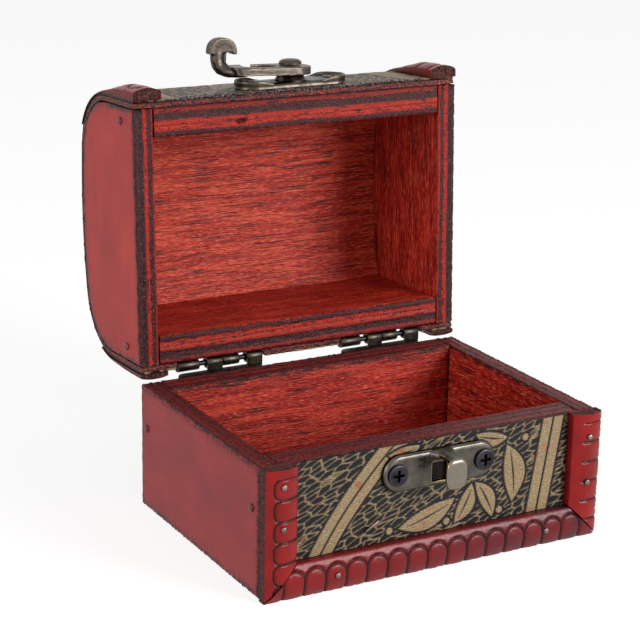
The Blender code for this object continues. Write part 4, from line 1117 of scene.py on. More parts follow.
def add_leaf(fields, across, along, place, lean, length, width, blur):
    """A pointed gold leaf with a dark midrib, lying on a dark border."""
    turn = math.radians(lean)
    a = (across - place[0]) * math.cos(turn) + (along - place[1]) * math.sin(turn)
    b = -(across - place[0]) * math.sin(turn) + (along - place[1]) * math.cos(turn)
    share = 2 * a / length
    inside = width / 2 * (1 - share ** 2) - np.abs(b - LEAF_BEND * width * (share ** 2 - 0.5))
    inside = np.where(np.abs(share) < LEAF_LIMIT, inside, -FAR_OFF)
    gold = soft_step(inside, blur)
    border = soft_step(inside + LEAF_BORDER, blur)
    fields["gold"] = np.maximum(fields["gold"] * (1 - border), gold)
    off_rib = np.abs(b - RIB_BEND * width * (share ** 2 - 0.5))
    rib = soft_step(RIB_HALF * (RIB_TAPER - np.abs(share)) - off_rib, blur)
    rib = rib * (np.abs(share) < RIB_SHARE)
    fields["line"] = np.maximum(fields["line"] * (1 - border), rib * gold)


def add_dot(fields, across, along, place, radius, blur):
    """A gold berry on a dark border."""
    inside = radius - np.hypot(across - place[0], along - place[1])
    gold = soft_step(inside, blur)
    border = soft_step(inside + DOT_BORDER, blur)
    fields["gold"] = np.maximum(fields["gold"] * (1 - border), gold)


def front_pattern(across, along):
    """The pressed pattern of the base's front, by millimetres across and up from its middle."""
    veins = vein_net(across, along, *FRONT_VEINS) * FRONT_VEIN_GOLD
    fields = {"gold": veins, "line": np.zeros(across.shape)}
    for place, lean, bend, half, groove in FRONT_BANDS:
        line = place + lean * along + bend * along ** 2
        add_band(fields, across, line, lean + 2 * bend * along, half, groove, FRONT_BLUR)
    for place, lean, length, width in FRONT_LEAVES:
        add_leaf(fields, across, along, place, lean, length, width, FRONT_BLUR)
    for place in FRONT_DOTS:
        add_dot(fields, across, along, place, DOT_RADIUS, FRONT_BLUR)
    return fields


# The net of veins: its lean in degrees, then cell width, cell length and line in millimetres
FRONT_VEINS = (66, 1.1, 3.3, 0.19)
FRONT_VEIN_GOLD = 0.85
FRONT_BLUR = 0.2
# Each band: the place, lean and bend of its line, then its half width and its groove's width
FRONT_BANDS = ((-19.5, 0.80, 0.012, 2.3, 0.45), (27.3, 0.16, 0.0, 2.5, 0.5))
# Each leaf: its place, lean in degrees, length and width, in millimetres
FRONT_LEAVES = (
    ((-1.5, -6.5), 18, 14.0, 4.6),
    ((7.5, -5.5), 64, 9.0, 3.8),
    ((12.6, -5.2), 118, 9.5, 3.6),
    ((19.0, -0.5), 98, 13.0, 5.2),
    ((-7.5, 8.3), 8, 7.5, 2.8),
    ((13.5, 8.0), -12, 8.0, 3.0),
)
FRONT_DOTS = ((3.2, -8.6), (16.2, -8.4), (22.0, 6.8), (-10.5, -8.2))


def make_front_paper():
    """Paper on the base's front, its pattern pressed up from the back."""
    low, high = drawn_box("base_front_paper")
    middle = (low + high) / 2
    z, x = np.meshgrid(
        spread(low[2], high[2], FRONT_PAPER_STEP), spread(low[0], high[0], FRONT_PAPER_STEP), indexing="ij",
    )
    fields = front_pattern(x / MM, (z - middle[2]) / MM)
    lift = RELIEF * (fields["gold"] - LINE_SHARE * fields["line"])
    y = low[1] + RELIEF_SINK - lift
    front = np.stack([x, y, z], axis=-1)
    back = np.stack([x[:, [-1, 0]], np.full((len(x), 2), high[1]), z[:, [-1, 0]]], axis=-1)
    rings = np.concatenate([front, back], axis=1)
    fields = {key: np.concatenate([value, value[:, [-1, 0]]], axis=1) for key, value in fields.items()}
    return loft("embossed_front_paper", rings, gold_paper, ["base_front_paper"], fields)


def dome_pattern(across, along):
    """The pressed pattern of the lid, by millimetres across and along its dome."""
    veins = vein_net(across, along, *DOME_VEINS) * DOME_VEIN_GOLD
    fields = {"gold": veins, "line": np.zeros(across.shape)}
    for start, swing in DOME_BANDS:
        middle = start + swing * np.sin(along / WAVE_RUN + start)
        slope = swing / WAVE_RUN * np.cos(along / WAVE_RUN + start)
        add_band(fields, across, middle, slope, DOME_BAND_HALF, DOME_BAND_GROOVE, DOME_BLUR)
    for place, lean, length, width in DOME_LEAVES:
        add_leaf(fields, across, along, place, lean, length, width, DOME_BLUR)
    return fields


DOME_VEINS = (58, 1.5, 4.2, 0.42)
DOME_VEIN_GOLD = 0.9
DOME_BLUR = 0.36
# Each waving band: the place of its middle and how far it swings aside
DOME_BANDS = ((-27, 5.0), (2, -6.5), (27, 4.0))
DOME_BAND_HALF = 2.6
DOME_BAND_GROOVE = 0.55
WAVE_RUN = 14
DOME_LEAVES = (
    ((-13, 14), 60, 15, 5.5), ((-19, 27), 118, 13, 5.0), ((-8, 36), 42, 16, 6.0), ((-20, 48), 78, 14, 5.4),
    ((-9, 60), 132, 15, 5.6), ((-18, 72), 54, 14, 5.2), ((-12, 88), 100, 14, 5.4), ((14, 12), 118, 14, 5.4),
    ((18, 26), 52, 15, 5.6), ((12, 40), 96, 13, 5.0), ((17, 54), 40, 15, 5.6), ((12, 68), 122, 14, 5.4),
    ((17, 82), 66, 15, 5.5), ((35, 20), 84, 12, 4.6), ((36, 46), 100, 13, 4.8), ((35, 74), 80, 12, 4.6),
    ((-36, 32), 96, 12, 4.6), ((-35, 60), 82, 13, 4.8), ((-36, 86), 98, 12, 4.6),
)


def make_dome_paper():
    """Paper over the veneer, cut out round the upper hinge leaves."""
    notch_margin = LEAF_MARGIN + PAPER_MARGIN
    columns = skin_columns(SIDE - PAPER_MARGIN, DOME_PAPER_STEP, notch_margin)
    rings = []
    runs = []
    for x in columns:
        end = DOME_LENGTH - (notch_reach(x, notch_margin) or PAPER_MARGIN)
        run = skin_runs(PAPER_MARGIN, end, DOME_PAPER_STEP)
        back = run[::-PAPER_BACK_STRIDE]
        count = len(run)
        points, normals = dome_line(np.concatenate([run, back]))
        rings.append((points, normals))
        runs.append(np.concatenate([run, back]))
    runs = np.array(runs)
    across = np.repeat(np.array(columns)[:, None], runs.shape[1], axis=1)
    fields = dome_pattern(across / MM, runs / MM)
    fields["gold"] *= np.clip((SIDE - PAPER_MARGIN - np.abs(across)) / PAPER_FADE, 0, 1)
    seat = 2 * GLUE_GAP + SHEET_THICKNESS
    lift = RELIEF * (fields["gold"] - LINE_SHARE * fields["line"])
    face = seat + PAPER_THICKNESS - RELIEF_SINK + lift
    offset = np.where(np.arange(runs.shape[1]) < count, face, seat)
    points = np.array([ring[0] + ring[1] * out[:, None] for ring, out in zip(rings, offset)])
    rings = np.concatenate([across[..., None], points], axis=-1)
    return loft("embossed_dome_paper", rings, gold_paper, ["dome_paper"], fields)


# Carved strips

def lobe_cut(along, across, lobes):
    """Grooves round a row of lobes, 0 to 1, and the lobes' swelling, 0 at their edges to 1."""
    half = lobes["pitch"] / 2
    corner = lobes["corner"]
    inside = (along > lobes["first"]) & (along < lobes["last"])
    offset = np.abs(np.mod(lobes["last"] - along, lobes["pitch"]) - half)
    past_side = offset - (half - corner)
    past_end = lobes["margin"] + corner - across if corner else np.full(across.shape, -half)
    past_end = past_end * np.ones(past_side.shape)
    outside = np.hypot(np.maximum(past_side, 0), np.maximum(past_end, 0))
    border = corner - outside - np.minimum(np.maximum(past_side, past_end), 0)
    groove = np.exp(-(border / GROOVE_WIDTH) ** 2) * inside
    groove = groove * (1.0 if corner else soft_step(across - lobes["margin"], LOBE_FADE))
    swell = 1 - (1 - np.clip(border / half, 0, 1)) ** 2
    return groove, np.where(inside & (border > 0), swell, LOBE_LEVEL)


def carved_strip(node, width, start, end, heights, lobes, place):
    """A carved half-round strip. start and end give its ends by the distance across it,
    heights the side and crest by the distance along it, and place its points in the box."""
    across = spread(0, width, CARVE_STEP)
    t = np.concatenate([[0, 0, 0], across, [width] * 3])
    share = np.concatenate([FOOT_RISES, np.ones(len(across)), FOOT_RISES[::-1]])
    begin, finish_at = start(t), end(t)
    rows = int(np.max(finish_at - begin) / CARVE_STEP)
    s = begin + (finish_at - begin) * np.linspace(0, 1, rows)[:, None]
    side, crest = heights(s)
    round_share = np.sin(np.pi * np.clip(t / width, 0, 1)) ** STRIP_FULLNESS
    groove, swell = lobe_cut(s, width - t if lobes["flipped"] else t, lobes)
    fading = np.clip((crest - CARVED_FROM) / CARVED_FADE, 0, 1)
    top = side + (crest - side) * round_share
    top = top - (GROOVE_DEPTH * groove + LOBE_SWELL * (1 - swell)) * fading
    height = np.where(share < 1, share * side, top)
    t = np.broadcast_to(t, s.shape[:1] + t.shape)
    rings = place(s + 0 * t, t, height)
    coarse, fine = (rough(rings, size) for size in WOBBLE_SIZES)
    wobble = WOBBLE * (coarse + 0.5 * fine - WOBBLE_LEVEL) * (share >= 1)
    coarse, fine = (rough(rings, size) for size in TORN_SIZES)
    torn = TORN_DEPTH * np.clip(coarse + TORN_FINE * fine, 0, 1)
    wobble = wobble - torn * np.exp(-(t / TORN_REACH) ** 2) * (share >= 1)
    rings = place(s + 0 * t, t, height + wobble)
    foot = FOOT_STAIN * (1 - share) * np.ones(t.shape)
    # The cuts' dark is partly paint left in them and partly painted shade, spread soft round the lobes
    soil_and_shade = np.maximum(groove, SOIL_AND_SHADE * groove ** SOIL_AND_SHADE_SPREAD)
    cut = np.maximum(soil_and_shade * fading * (share >= 1), foot)
    raw = TAIL_RAW * np.clip((TAIL_CREST - crest) / TAIL_FADE, 0, 1) * np.ones(t.shape)
    raw[:, :len(FOOT_RISES) + 1] = lobes.get("side", 1.0)
    rings, raw, cut = with_ends(rings, raw, cut)
    dust = np.clip(DUST_LEVEL + DUST_LEAN * rings[..., 0] / SIDE, 0, 1)
    dusty = lobes.get("dusty", 0.0) * dust
    return loft(f"carved_{node}", rings, red_carving, [node], {"cut": cut, "raw": raw, "dusty": dusty})


def with_ends(rings, raw, cut):
    """Adds a rough sawn face at each end of a strip."""
    for end, inner in ((0, 1), (-1, -2)):
        last = rings[end]
        middle = last.mean(axis=0)
        outward = last - rings[inner]
        outward = outward / np.linalg.norm(outward, axis=1)[:, None]
        faces = []
        for share in SAWN_SHARES:
            ring = middle + (last - middle) * share
            coarse, fine = (rough(ring, size) for size in SAWN_SIZES)
            dent = SAWN_DENT * (coarse + 0.5 * fine - SAWN_LEVEL)
            faces.append(ring + outward.mean(axis=0) * dent[:, None])
        rough_face = np.array(faces[::-1] if end == 0 else faces)
        sawn = np.ones(rough_face.shape[:2])
        order = (rough_face, rings) if end == 0 else (rings, rough_face)
        rings = np.concatenate(order)
        raw = np.concatenate((sawn, raw) if end == 0 else (raw, sawn))
        cut = np.concatenate((0 * sawn, cut) if end == 0 else (cut, 0 * sawn))
    return rings, raw, cut


LEFT_LOBES = {"pitch": 4.5 * MM, "corner": 1.6 * MM, "margin": 1.8 * MM, "flipped": False}
RIGHT_LOBES = {"pitch": 4.4 * MM, "corner": 0.0, "margin": 2.3 * MM, "flipped": True}
FOOT_LOBES = {"pitch": 4.75 * MM, "corner": 2.37 * MM, "margin": 1.2 * MM, "flipped": True, "dusty": 0.8}
DOME_LOBES = {"pitch": 4.75 * MM, "corner": 2.3 * MM, "margin": 1.2 * MM, "flipped": False, "side": 0.45}


def base_heights(s):
    """The side and crest of a base strip, the same all along."""
    return BASE_STRIP_SIDE, BASE_STRIP_CREST * np.ones(s.shape)


def make_base_strips():
    """Two upright strips and the one along the foot, mitred where they meet."""
    seat = FRONT - GLUE_GAP
    width = drawn_box("base_moulding_bottom")[1][2]
    for side_name, sign, kind in (("left", -1, LEFT_LOBES), ("right", 1, RIGHT_LOBES)):
        def upright(s, t, height, sign=sign):
            return np.stack([sign * (SIDE - t), seat - height, s], axis=-1)

        lobes = {**kind, "first": -SIDE, "last": BASE_HEIGHT - SIDE_STRIP_HEAD}
        carved_strip(
            f"base_moulding_{side_name}", width, lambda t: t + MITRE_GAP, lambda t: BASE_HEIGHT + 0 * t,
            base_heights, lobes, upright,
        )

    def lying(s, t, height):
        return np.stack([s, seat - height, t], axis=-1)

    carved_strip(
        "base_moulding_bottom", width, lambda t: -SIDE + t, lambda t: SIDE - t,
        base_heights, {**FOOT_LOBES, "first": -SIDE, "last": SIDE}, lying,
    )


def make_lid_strips():
    """Four strips that run up from the lid's rims and taper out over the dome."""
    for end_name, crest, reach, taper_end in LID_STRIPS:
        for side_name, sign in (("left", -1), ("right", 1)):
            def heights(s, crest=crest, taper_end=taper_end):
                share = np.clip((s - TAPER_START) / (taper_end - TAPER_START), 0, 1)
                high = STRIP_TAIL + (crest - STRIP_TAIL) * (1 + np.cos(np.pi * share)) / 2
                return TAPER_SIDE_SHARE * high, high

            def along_dome(s, t, height, sign=sign, end_name=end_name):
                runs = s if end_name == "front" else DOME_LENGTH - s
                points, normals = dome_line(runs[:, 0])
                offset = (LID_STRIP_SEAT + height)[..., None]
                placed = points[:, None, :] + normals[:, None, :] * offset
                return np.concatenate([(sign * (SIDE - t))[..., None], placed], axis=-1)

            carved_strip(
                f"lid_moulding_{end_name}_{side_name}", LID_STRIP_WIDTH, lambda t: 0 * t,
                lambda t, reach=reach: reach + 0 * t, heights,
                {**DOME_LOBES, "first": LID_LOBE_START, "last": taper_end}, along_dome,
            )


# Cast, pressed and turned metal

def read_rows(items, name, width, kind=float):
    """A property of all of a mesh's points or edges, a row for each."""
    values = np.empty(len(items) * width, kind)
    items.foreach_get(name, values)
    return values.reshape(-1, width)


def add_wear(mesh, passes):
    """Stores how far each point stands out from its neighbours, soft over a few of them."""
    count = len(mesh.vertices)
    points = read_rows(mesh.vertices, "co", 3)
    normals = read_rows(mesh.vertices, "normal", 3)
    edges = read_rows(mesh.edges, "vertices", 2, np.int64)
    ends = np.concatenate([edges, edges[:, ::-1]])
    valence = np.maximum(np.bincount(ends[:, 0], minlength=count), 1)

    def neighbours(values):
        return np.bincount(ends[:, 0], weights=values[ends[:, 1]], minlength=count) / valence

    mean = np.stack([neighbours(points[:, axis]) for axis in range(3)], axis=1)
    lengths = np.linalg.norm(points[ends[:, 0]] - points[ends[:, 1]], axis=1)
    wear = ((points - mean) * normals).sum(axis=1) / lengths.mean()
    for _ in range(passes):
        wear = (1 - WEAR_BLEND) * wear + WEAR_BLEND * neighbours(wear)
    middle, high = np.percentile(wear, WEAR_MARKS)
    store_fields(mesh, {"wear": WEAR_SPREAD * (wear - middle) / (high - middle)})


def evaluated_mesh(item, name):
    """The mesh that an object's modifiers make; the object itself is removed."""
    bpy.context.view_layer.update()
    graph = bpy.context.evaluated_depsgraph_get()
    mesh = bpy.data.meshes.new_from_object(item.evaluated_get(graph))
    mesh.name = name
    bpy.data.objects.remove(item)
    return mesh


def make_casting(node, surface, voxel, softness, extras, shaped=None, marked=None):
    """A node's shape with its edges rounded as casting and tumbling leave them. Extras are lofts
    to fuse with it, shaped moves the points first, and marked adds fields to the finished mesh."""
    source = frame["nodes"][node].data
    points = [tuple(corner.co) for corner in source.vertices]
    faces = [tuple(face.vertices) for face in source.polygons]
    more_points, more_faces = join(extras)
    faces += [tuple(corner + len(points) for corner in face) for face in more_faces]
    points = np.array(points + [tuple(point) for point in more_points])
    if shaped:
        points = shaped(points)
    blank = bpy.data.meshes.new("blank")
    blank.from_pydata(points.tolist(), [], faces)
    item = add_item("blank", blank)
    skin = item.modifiers.new("skin", "REMESH")
    skin.mode = "VOXEL"
    skin.voxel_size = voxel
    tumble = item.modifiers.new("tumble", "SMOOTH")
    tumble.factor = 0.5
    tumble.iterations = softness
    mesh = evaluated_mesh(item, f"cast_{node}")
    add_wear(mesh, softness)
    if marked:
        marked(mesh)
    return settle(mesh, surface, [node], Matrix.Identity(4))


def add_polish_and_shade(mesh):
    """Marks the catch's tip, which fingers and the hook keep bright, and paints shade near black at the plate's
    back, behind its tab and window.
    """
    depth = np.array([corner.co[1] for corner in mesh.vertices])
    low, high = drawn_box("catch_plate")
    store_fields(mesh, {
        "polish": soft_step(low[1] + POLISH_DEPTH - depth, POLISH_FADE),
        "grime": SHADE_STRENGTH * soft_step(depth - high[1] + SHADE_DEPTH, SHADE_FADE),
    })


def oval(centre_x, half, low, high, y, fullness=2.6, sides=28):
    """A ring across the box's depth: a rounded oblong of these half width and heights."""
    points = []
    for i in range(sides):
        angle = 2 * math.pi * i / sides
        c, s = math.cos(angle), math.sin(angle)
        x = half * math.copysign(abs(c) ** (2 / fullness), c)
        z = (high - low) / 2 * math.copysign(abs(s) ** (2 / fullness), s)
        points.append((centre_x + x, y, (low + high) / 2 + z))
    return points


def catch_extras():
    """The catch's hood over its tab, the full tip that the hook slips behind, and a pan behind the window that is
    painted near black as shade.
    """
    low, high = drawn_box("catch_plate")
    middle = (low[0] + high[0]) / 2
    tip = low[1]
    top = BASE_HEIGHT - TAB_TOP_DROP
    hood = [
        oval(middle, half * MM, top - drop * MM, top + rise * MM, tip + back * MM)
        for back, half, drop, rise in HOOD_STATIONS
    ]
    half = TIP_HEIGHT / 2
    button = []
    for back, size in TIP_STATIONS:
        lowest, highest = top - half * (1 + size), top - half * (1 - size)
        ring = oval(middle, TIP_WIDTH / 2 * size, lowest, highest, tip + back * MM, fullness=3.0)
        button.append(ring)
    left, right = middle + SHADE_PAN_X[0], middle + SHADE_PAN_X[1]
    bottom, head = BASE_HEIGHT - SHADE_PAN_DROPS[0], BASE_HEIGHT - SHADE_PAN_DROPS[1]
    corners = ((left, bottom), (right, bottom), (right, head), (left, head))
    shade_pan = [[(x, high[1] - depth, z) for x, z in corners] for depth in SHADE_PAN_DEPTHS]
    return [hood, button, shade_pan]


def latch_extras():
    """The tall curled rim round each end of the latch plate, fading towards its raised middle."""
    low, high = drawn_box("latch_plate")
    middle = (low + high) / 2
    half_width = (high[2] - low[2]) / 2
    straight = (high[0] - low[0]) / 2 - half_width
    flat = low[1] + LATCH_BOSS
    rims = []
    for side in (-1, 1):
        rim = []
        for turn in np.linspace(-1, 1, CURL_POINTS):
            run = abs(turn) * (math.pi / 2 * half_width + CURL_RUN)
            past = max(run - math.pi / 2 * half_width, 0.0)
            angle = min(run / half_width, math.pi / 2)
            fade = (1 + math.cos(math.pi * past / CURL_RUN)) / 2
            across = Vector((side * math.cos(angle), 0, math.copysign(math.sin(angle), turn)))
            centre = Vector((middle[0] + side * (straight - past), 0, middle[2]))
            section = []
            for inset, rise in CURL_SECTION:
                place = centre + across * (half_width - inset * MM)
                place.y = flat - (rise * CURL_HEIGHT * fade if rise > 0 else rise * MM)
                section.append(tuple(OPENING @ place))
            rim.append(section)
        rims.append(rim)
    return rims


def hook_place(reach, out, across):
    """A point of the hook by its reach from the rivet, its height off the lid and its place across."""
    swing = joints["hook_swing"]
    up = -Vector(swing["axis"])
    sideways = up.cross(Vector((1, 0, 0)))
    return tuple(Vector(swing["pos_m"]) + Vector((-reach, 0, 0)) + up * out + sideways * across)


def hook_extras():
    """The swelling bend from the hook's arm into its neck, and the solid under its finger cap."""
    bend = []
    middles = np.array([station[:2] for station in HEEL_STATIONS])
    heading = np.gradient(middles, axis=0)
    heading /= np.linalg.norm(heading, axis=1)[:, None]
    for (reach, out), (ahead, up), station in zip(middles, heading, HEEL_STATIONS):
        half, wide = station[2:]
        ring = []
        for angle in np.linspace(0, 2 * math.pi, HEEL_SIDES, endpoint=False):
            c = math.copysign(abs(math.cos(angle)) ** HEEL_SQUARENESS, math.cos(angle))
            s = math.copysign(abs(math.sin(angle)) ** HEEL_SQUARENESS, math.sin(angle))
            place = (reach - up * half * c, out + ahead * half * c, wide * s)
            ring.append(hook_place(*(value * MM for value in place)))
        bend.append(ring)
    filling = []
    for side in (-1, 1):
        ring = []
        for angle in np.radians(np.linspace(*CAP_FILL_ARC, CAP_FILL_POINTS)):
            reach = CAP_MIDDLE + CAP_INNER * math.cos(angle)
            rise = CAP_FILL_BASE + CAP_FILL_RISE * math.sin(angle)
            ring.append(hook_place(reach, rise, side * CAP_HALF_WIDTH))
        filling.append(ring)
    return [bend, filling]


def turned_rings(axis, sign, top, centre, stations, sides=24, bumps=0.0):
    """Rings of a turned piece from (depth below its top, radius) stations."""
    first, second = [i for i in range(3) if i != axis]
    angles = np.linspace(0, 2 * np.pi, sides, endpoint=False)
    rings = []
    for depth, radius in stations:
        ring = np.empty((sides, 3))
        ring[:, axis] = top - sign * depth
        ring[:, first] = centre[first] + radius * np.cos(angles)
        ring[:, second] = centre[second] + radius * np.sin(angles)
        rings.append(ring)
    rings = np.array(rings)
    if bumps:
        rings[..., axis] -= sign * bumps * (0.5 + 0.5 * rough(rings, BUMP_SIZE))
    return rings


def slim_cap(points):
    """Draws the hook's neck and finger cap in towards the cap's far end, as on the casting."""
    swing = joints["hook_swing"]
    away = points - np.array(swing["pos_m"])
    out = away @ -np.array(swing["axis"])
    reach = -away[:, 0]
    share = np.clip((out - SLIM_START) / SLIM_BLEND, 0, 1)
    farthest = reach.max()
    drawn_in = farthest - (farthest - reach) * CAP_LENGTH_SHARE
    slim = points.copy()
    slim[:, 0] += (reach - drawn_in) * share
    across_way = np.array(Vector(swing["axis"]).cross(Vector((-1, 0, 0))))
    across = away @ across_way
    slim -= (across * (1 - CAP_WIDTH_SHARE) * share)[:, None] * across_way
    return slim


HEAD_PROFILE = ((0.0, 0.1), (0.03, 0.4), (0.14, 0.68), (0.36, 0.88), (0.66, 0.98), (1.0, 0.97))
SCREW_RIM = ((1.0, 0.97), (0.6, 1.0), (0.42, 0.985), (0.28, 0.94))
RIVET_SHANK = 1.2 * MM
RIVET_SIDES = 40
RIVET_BUMPS = 0.05 * MM
# Under the rivet's head: its depth as a share of the head's, and a share of the radius
RIVET_NECK = (1.02, 0.9)
# The rings round the rivet's rim that are rubbed bright, and how bright
RIVET_RUBBED = (4, 5)
RIVET_RUB = 0.4
SCREW_TIP = 0.3 * MM
SCREW_TAPER = 0.8 * MM
SCREW_SHANK = 0.8 * MM
SCREW_DOME = (0.9, 0.03)
SCREW_DOME_RISE = 0.24
SCREW_RINGS = 22
SCREW_SIDES = 72
SCREW_RUB = 0.6
SCREW_RUB_FROM = 0.86
# The cross in the screws' heads, in millimetres, with the dirt in it
CROSS_HALF = 0.27
CROSS_BLUR = 0.14
CROSS_REACH = 1.2
CROSS_END_BLUR = 0.2
CROSS_TOP_SHARE = 0.25
CROSS_DIRT = 0.9


def make_nail(node, axis, sign, surface):
    """A small domed nail head with the marks of the hammer, on its shank."""
    low, high = drawn_box(node)
    centre = (low + high) / 2
    others = [i for i in range(3) if i != axis]
    radius = (high - low)[others].max() / 2
    top = high[axis] if sign > 0 else low[axis]
    length = (high - low)[axis]
    head = NAIL_HEAD_HEIGHT
    stations = [(head * depth, radius * share) for depth, share in HEAD_PROFILE]
    stations += [(head, radius / 2), (length, radius / 2)]
    rings = turned_rings(axis, sign, top, centre, stations, bumps=NAIL_BUMPS)
    return loft(f"driven_{node}", rings, surface, [node])


def make_nails():
    """All nails and brads, each driven square to the face it holds."""
    for node in sorted(node_slots):
        if "brad" in node:
            make_nail(node, 1, -1, dull_steel)
        elif node.startswith("hinge") and "nail" in node:
            make_nail(node, 1, 1, screw_steel)
        elif "_nail_" in node:
            make_nail(node, 0, -1 if "left" in node else 1, painted_steel)


def make_screw(node):
    """Low-domed screw head with a pressed cross, its edge rubbed bright."""
    low, high = (corner.copy() for corner in drawn_box(node))
    low[1] += LATCH_SCREW_SINK if node.startswith("latch") else SCREW_SINK
    centre = (low + high) / 2
    radius = (high[0] - low[0]) / 2
    head = SCREW_HEAD_HEIGHT
    length = high[1] - low[1]
    stations = [(length, SCREW_TIP), (length - SCREW_TAPER, SCREW_SHANK), (head, SCREW_SHANK)]
    stations += [(head * depth, radius * share) for depth, share in SCREW_RIM]
    dome = np.linspace(*SCREW_DOME, SCREW_RINGS)
    stations += [(head * SCREW_DOME_RISE * share ** 2, radius * share) for share in dome]
    rings = turned_rings(1, -1, low[1], centre, stations, sides=SCREW_SIDES)
    across = np.abs(rings[..., 0] - centre[0]) / MM
    up = np.abs(rings[..., 2] - centre[2]) / MM
    arm = np.minimum(across, up)
    reach = np.maximum(across, up)
    cross = soft_step(CROSS_HALF - arm, CROSS_BLUR) * soft_step(CROSS_REACH - reach, CROSS_END_BLUR)
    on_top = rings[..., 1] < low[1] + CROSS_TOP_SHARE * head
    rings[..., 1] += cross * on_top * CROSS_DEPTH
    distance = np.hypot(rings[..., 0] - centre[0], rings[..., 2] - centre[2]) / radius
    wear = np.where(on_top, SCREW_RUB * (distance > SCREW_RUB_FROM) - CROSS_DIRT * cross, 0.0)
    return loft(f"cross_head_{node}", rings, screw_steel, [node], {"wear": wear})


def make_rivet():
    """Domed rivet that the hook turns on."""
    low, high = drawn_box("hook_rivet")
    centre = (low + high) / 2
    radius = (high[0] - low[0]) / 2
    head = RIVET_HEAD_HEIGHT
    stations = [(head * depth, radius * share) for depth, share in HEAD_PROFILE]
    depth, share = RIVET_NECK
    stations += [(head * depth, radius * share), (head * depth, RIVET_SHANK)]
    stations.append((high[1] - low[1], RIVET_SHANK))
    rings = turned_rings(1, -1, low[1], centre, stations, sides=RIVET_SIDES, bumps=RIVET_BUMPS)
    edge = np.isin(np.arange(len(stations)), RIVET_RUBBED)[:, None] * RIVET_RUB
    wear = edge * np.ones(rings.shape[:2])
    return loft("domed_hook_rivet", rings, hook_pewter, ["hook_rivet"], {"wear": wear})


# Hinges

def rolled_knuckle(low_x, high_x, seat, upward):
    """A strip of the leaf rolled round the pin, its seam left open beside the leaf."""
    middle = PIN_Y - seat - LEAF_THICKNESS / 2
    path = [(seat + LEAF_THICKNESS / 2, upward * reach) for reach in KNUCKLE_TAIL]
    directions = [(-1.0, 0.0)] * 2
    for turn in np.radians(np.linspace(180, 180 - KNUCKLE_TURN, KNUCKLE_POINTS)):
        path.append((PIN_Y + middle * math.cos(turn), -upward * middle * math.sin(turn)))
        directions.append((math.cos(turn), -upward * math.sin(turn)))
    path = np.array(path)
    directions = np.array(directions)
    outline = []
    for share in (0.5, -0.5):
        side = path + directions * LEAF_THICKNESS * share
        outline.append(side if share > 0 else side[::-1])
    outline = np.concatenate(outline)
    middle_line = np.concatenate([path, path[::-1]])
    rings = []
    places = (low_x, low_x + KNUCKLE_BEVEL, high_x - KNUCKLE_BEVEL, high_x)
    for x, inset in zip(places, (KNUCKLE_THINNING, 0.0, 0.0, KNUCKLE_THINNING)):
        section = outline + (middle_line - outline) * inset
        ring = np.empty((len(section), 3))
        ring[:, 0] = x
        ring[:, 1] = section[:, 0]
        ring[:, 2] = PIN_Z + section[:, 1]
        rings.append(ring)
    return np.array(rings)


def leaf_plate(low, high, upward):
    """The flat of a hinge leaf, with its corners clipped round."""
    near = PIN_Z + upward * LEAF_START
    far = high[2] if upward > 0 else low[2]
    bottom, top = sorted((near, far))
    rings = []
    for depth, inset in LEAF_STATIONS:
        inset = inset * MM
        width, height = high[0] - low[0] - 2 * inset, top - bottom - 2 * inset
        outline = rounded_ring(width, height, LEAF_CORNER, LEAF_SIDE_POINTS)
        y = low[1] + LEAF_THICKNESS * depth
        rings.append([(low[0] + inset + x, y, bottom + inset + z) for x, z in outline])
    return np.array(rings)


def make_hinges():
    """Both hinges: their leaves with rolled knuckles, and the pins."""
    kinds = (("base", -1, BASE_KNUCKLE_SHARES), ("lid", 1, LID_KNUCKLE_SHARES))
    for side_name in ("left", "right"):
        for body_name, upward, shares in kinds:
            node = f"hinge_{side_name}_{body_name}_leaf"
            low, high = drawn_box(node)
            parts = [leaf_plate(low, high, upward)]
            for first, last in shares:
                length = high[0] - low[0]
                ends = low[0] + length * first, low[0] + length * last
                parts.append(rolled_knuckle(*ends, low[1], upward))
            points, faces = join(parts)
            make_piece(f"rolled_{node}", points, faces, hinge_metal, [node])
        node = f"hinge_{side_name}_pin"
        low, high = drawn_box(node)
        radius = (high[2] - low[2]) / 2
        length = high[0] - low[0]
        stations = [(depth * MM, radius * share) for depth, share in PIN_END]
        stations += [(length - depth, share) for depth, share in reversed(stations)]
        rings = turned_rings(0, 1, high[0], (low + high) / 2, stations, sides=PIN_SIDES)
        loft(f"drawn_{node}", rings, screw_steel, [node])


def make_stray_brad():
    """A brad driven askew, its shank bent down on the front paper."""
    start, end = (Vector(place) * MM for place in STRAY_BRAD)
    along = (end - start).normalized()
    turn = along.to_track_quat("Z", "Y")
    length = (end - start).length
    rings = []
    angles = np.linspace(0, 2 * math.pi, STRAY_BRAD_SIDES, endpoint=False)
    for place, radius in STRAY_BRAD_STATIONS:
        spokes = [Vector((radius * math.cos(a), radius * math.sin(a), 0)) * MM for a in angles]
        rings.append([tuple(start + along * length * place + turn @ spoke) for spoke in spokes])
    rings = np.array(rings)
    faces = loft_faces(*rings.shape[:2])
    mesh = bpy.data.meshes.new("stray_brad")
    mesh.from_pydata(rings.reshape(-1, 3).tolist(), [], faces)
    mesh.shade_smooth()
    mesh.materials.append(dull_steel)
    brad = add_item("stray_brad", mesh)
    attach(brad, "base")


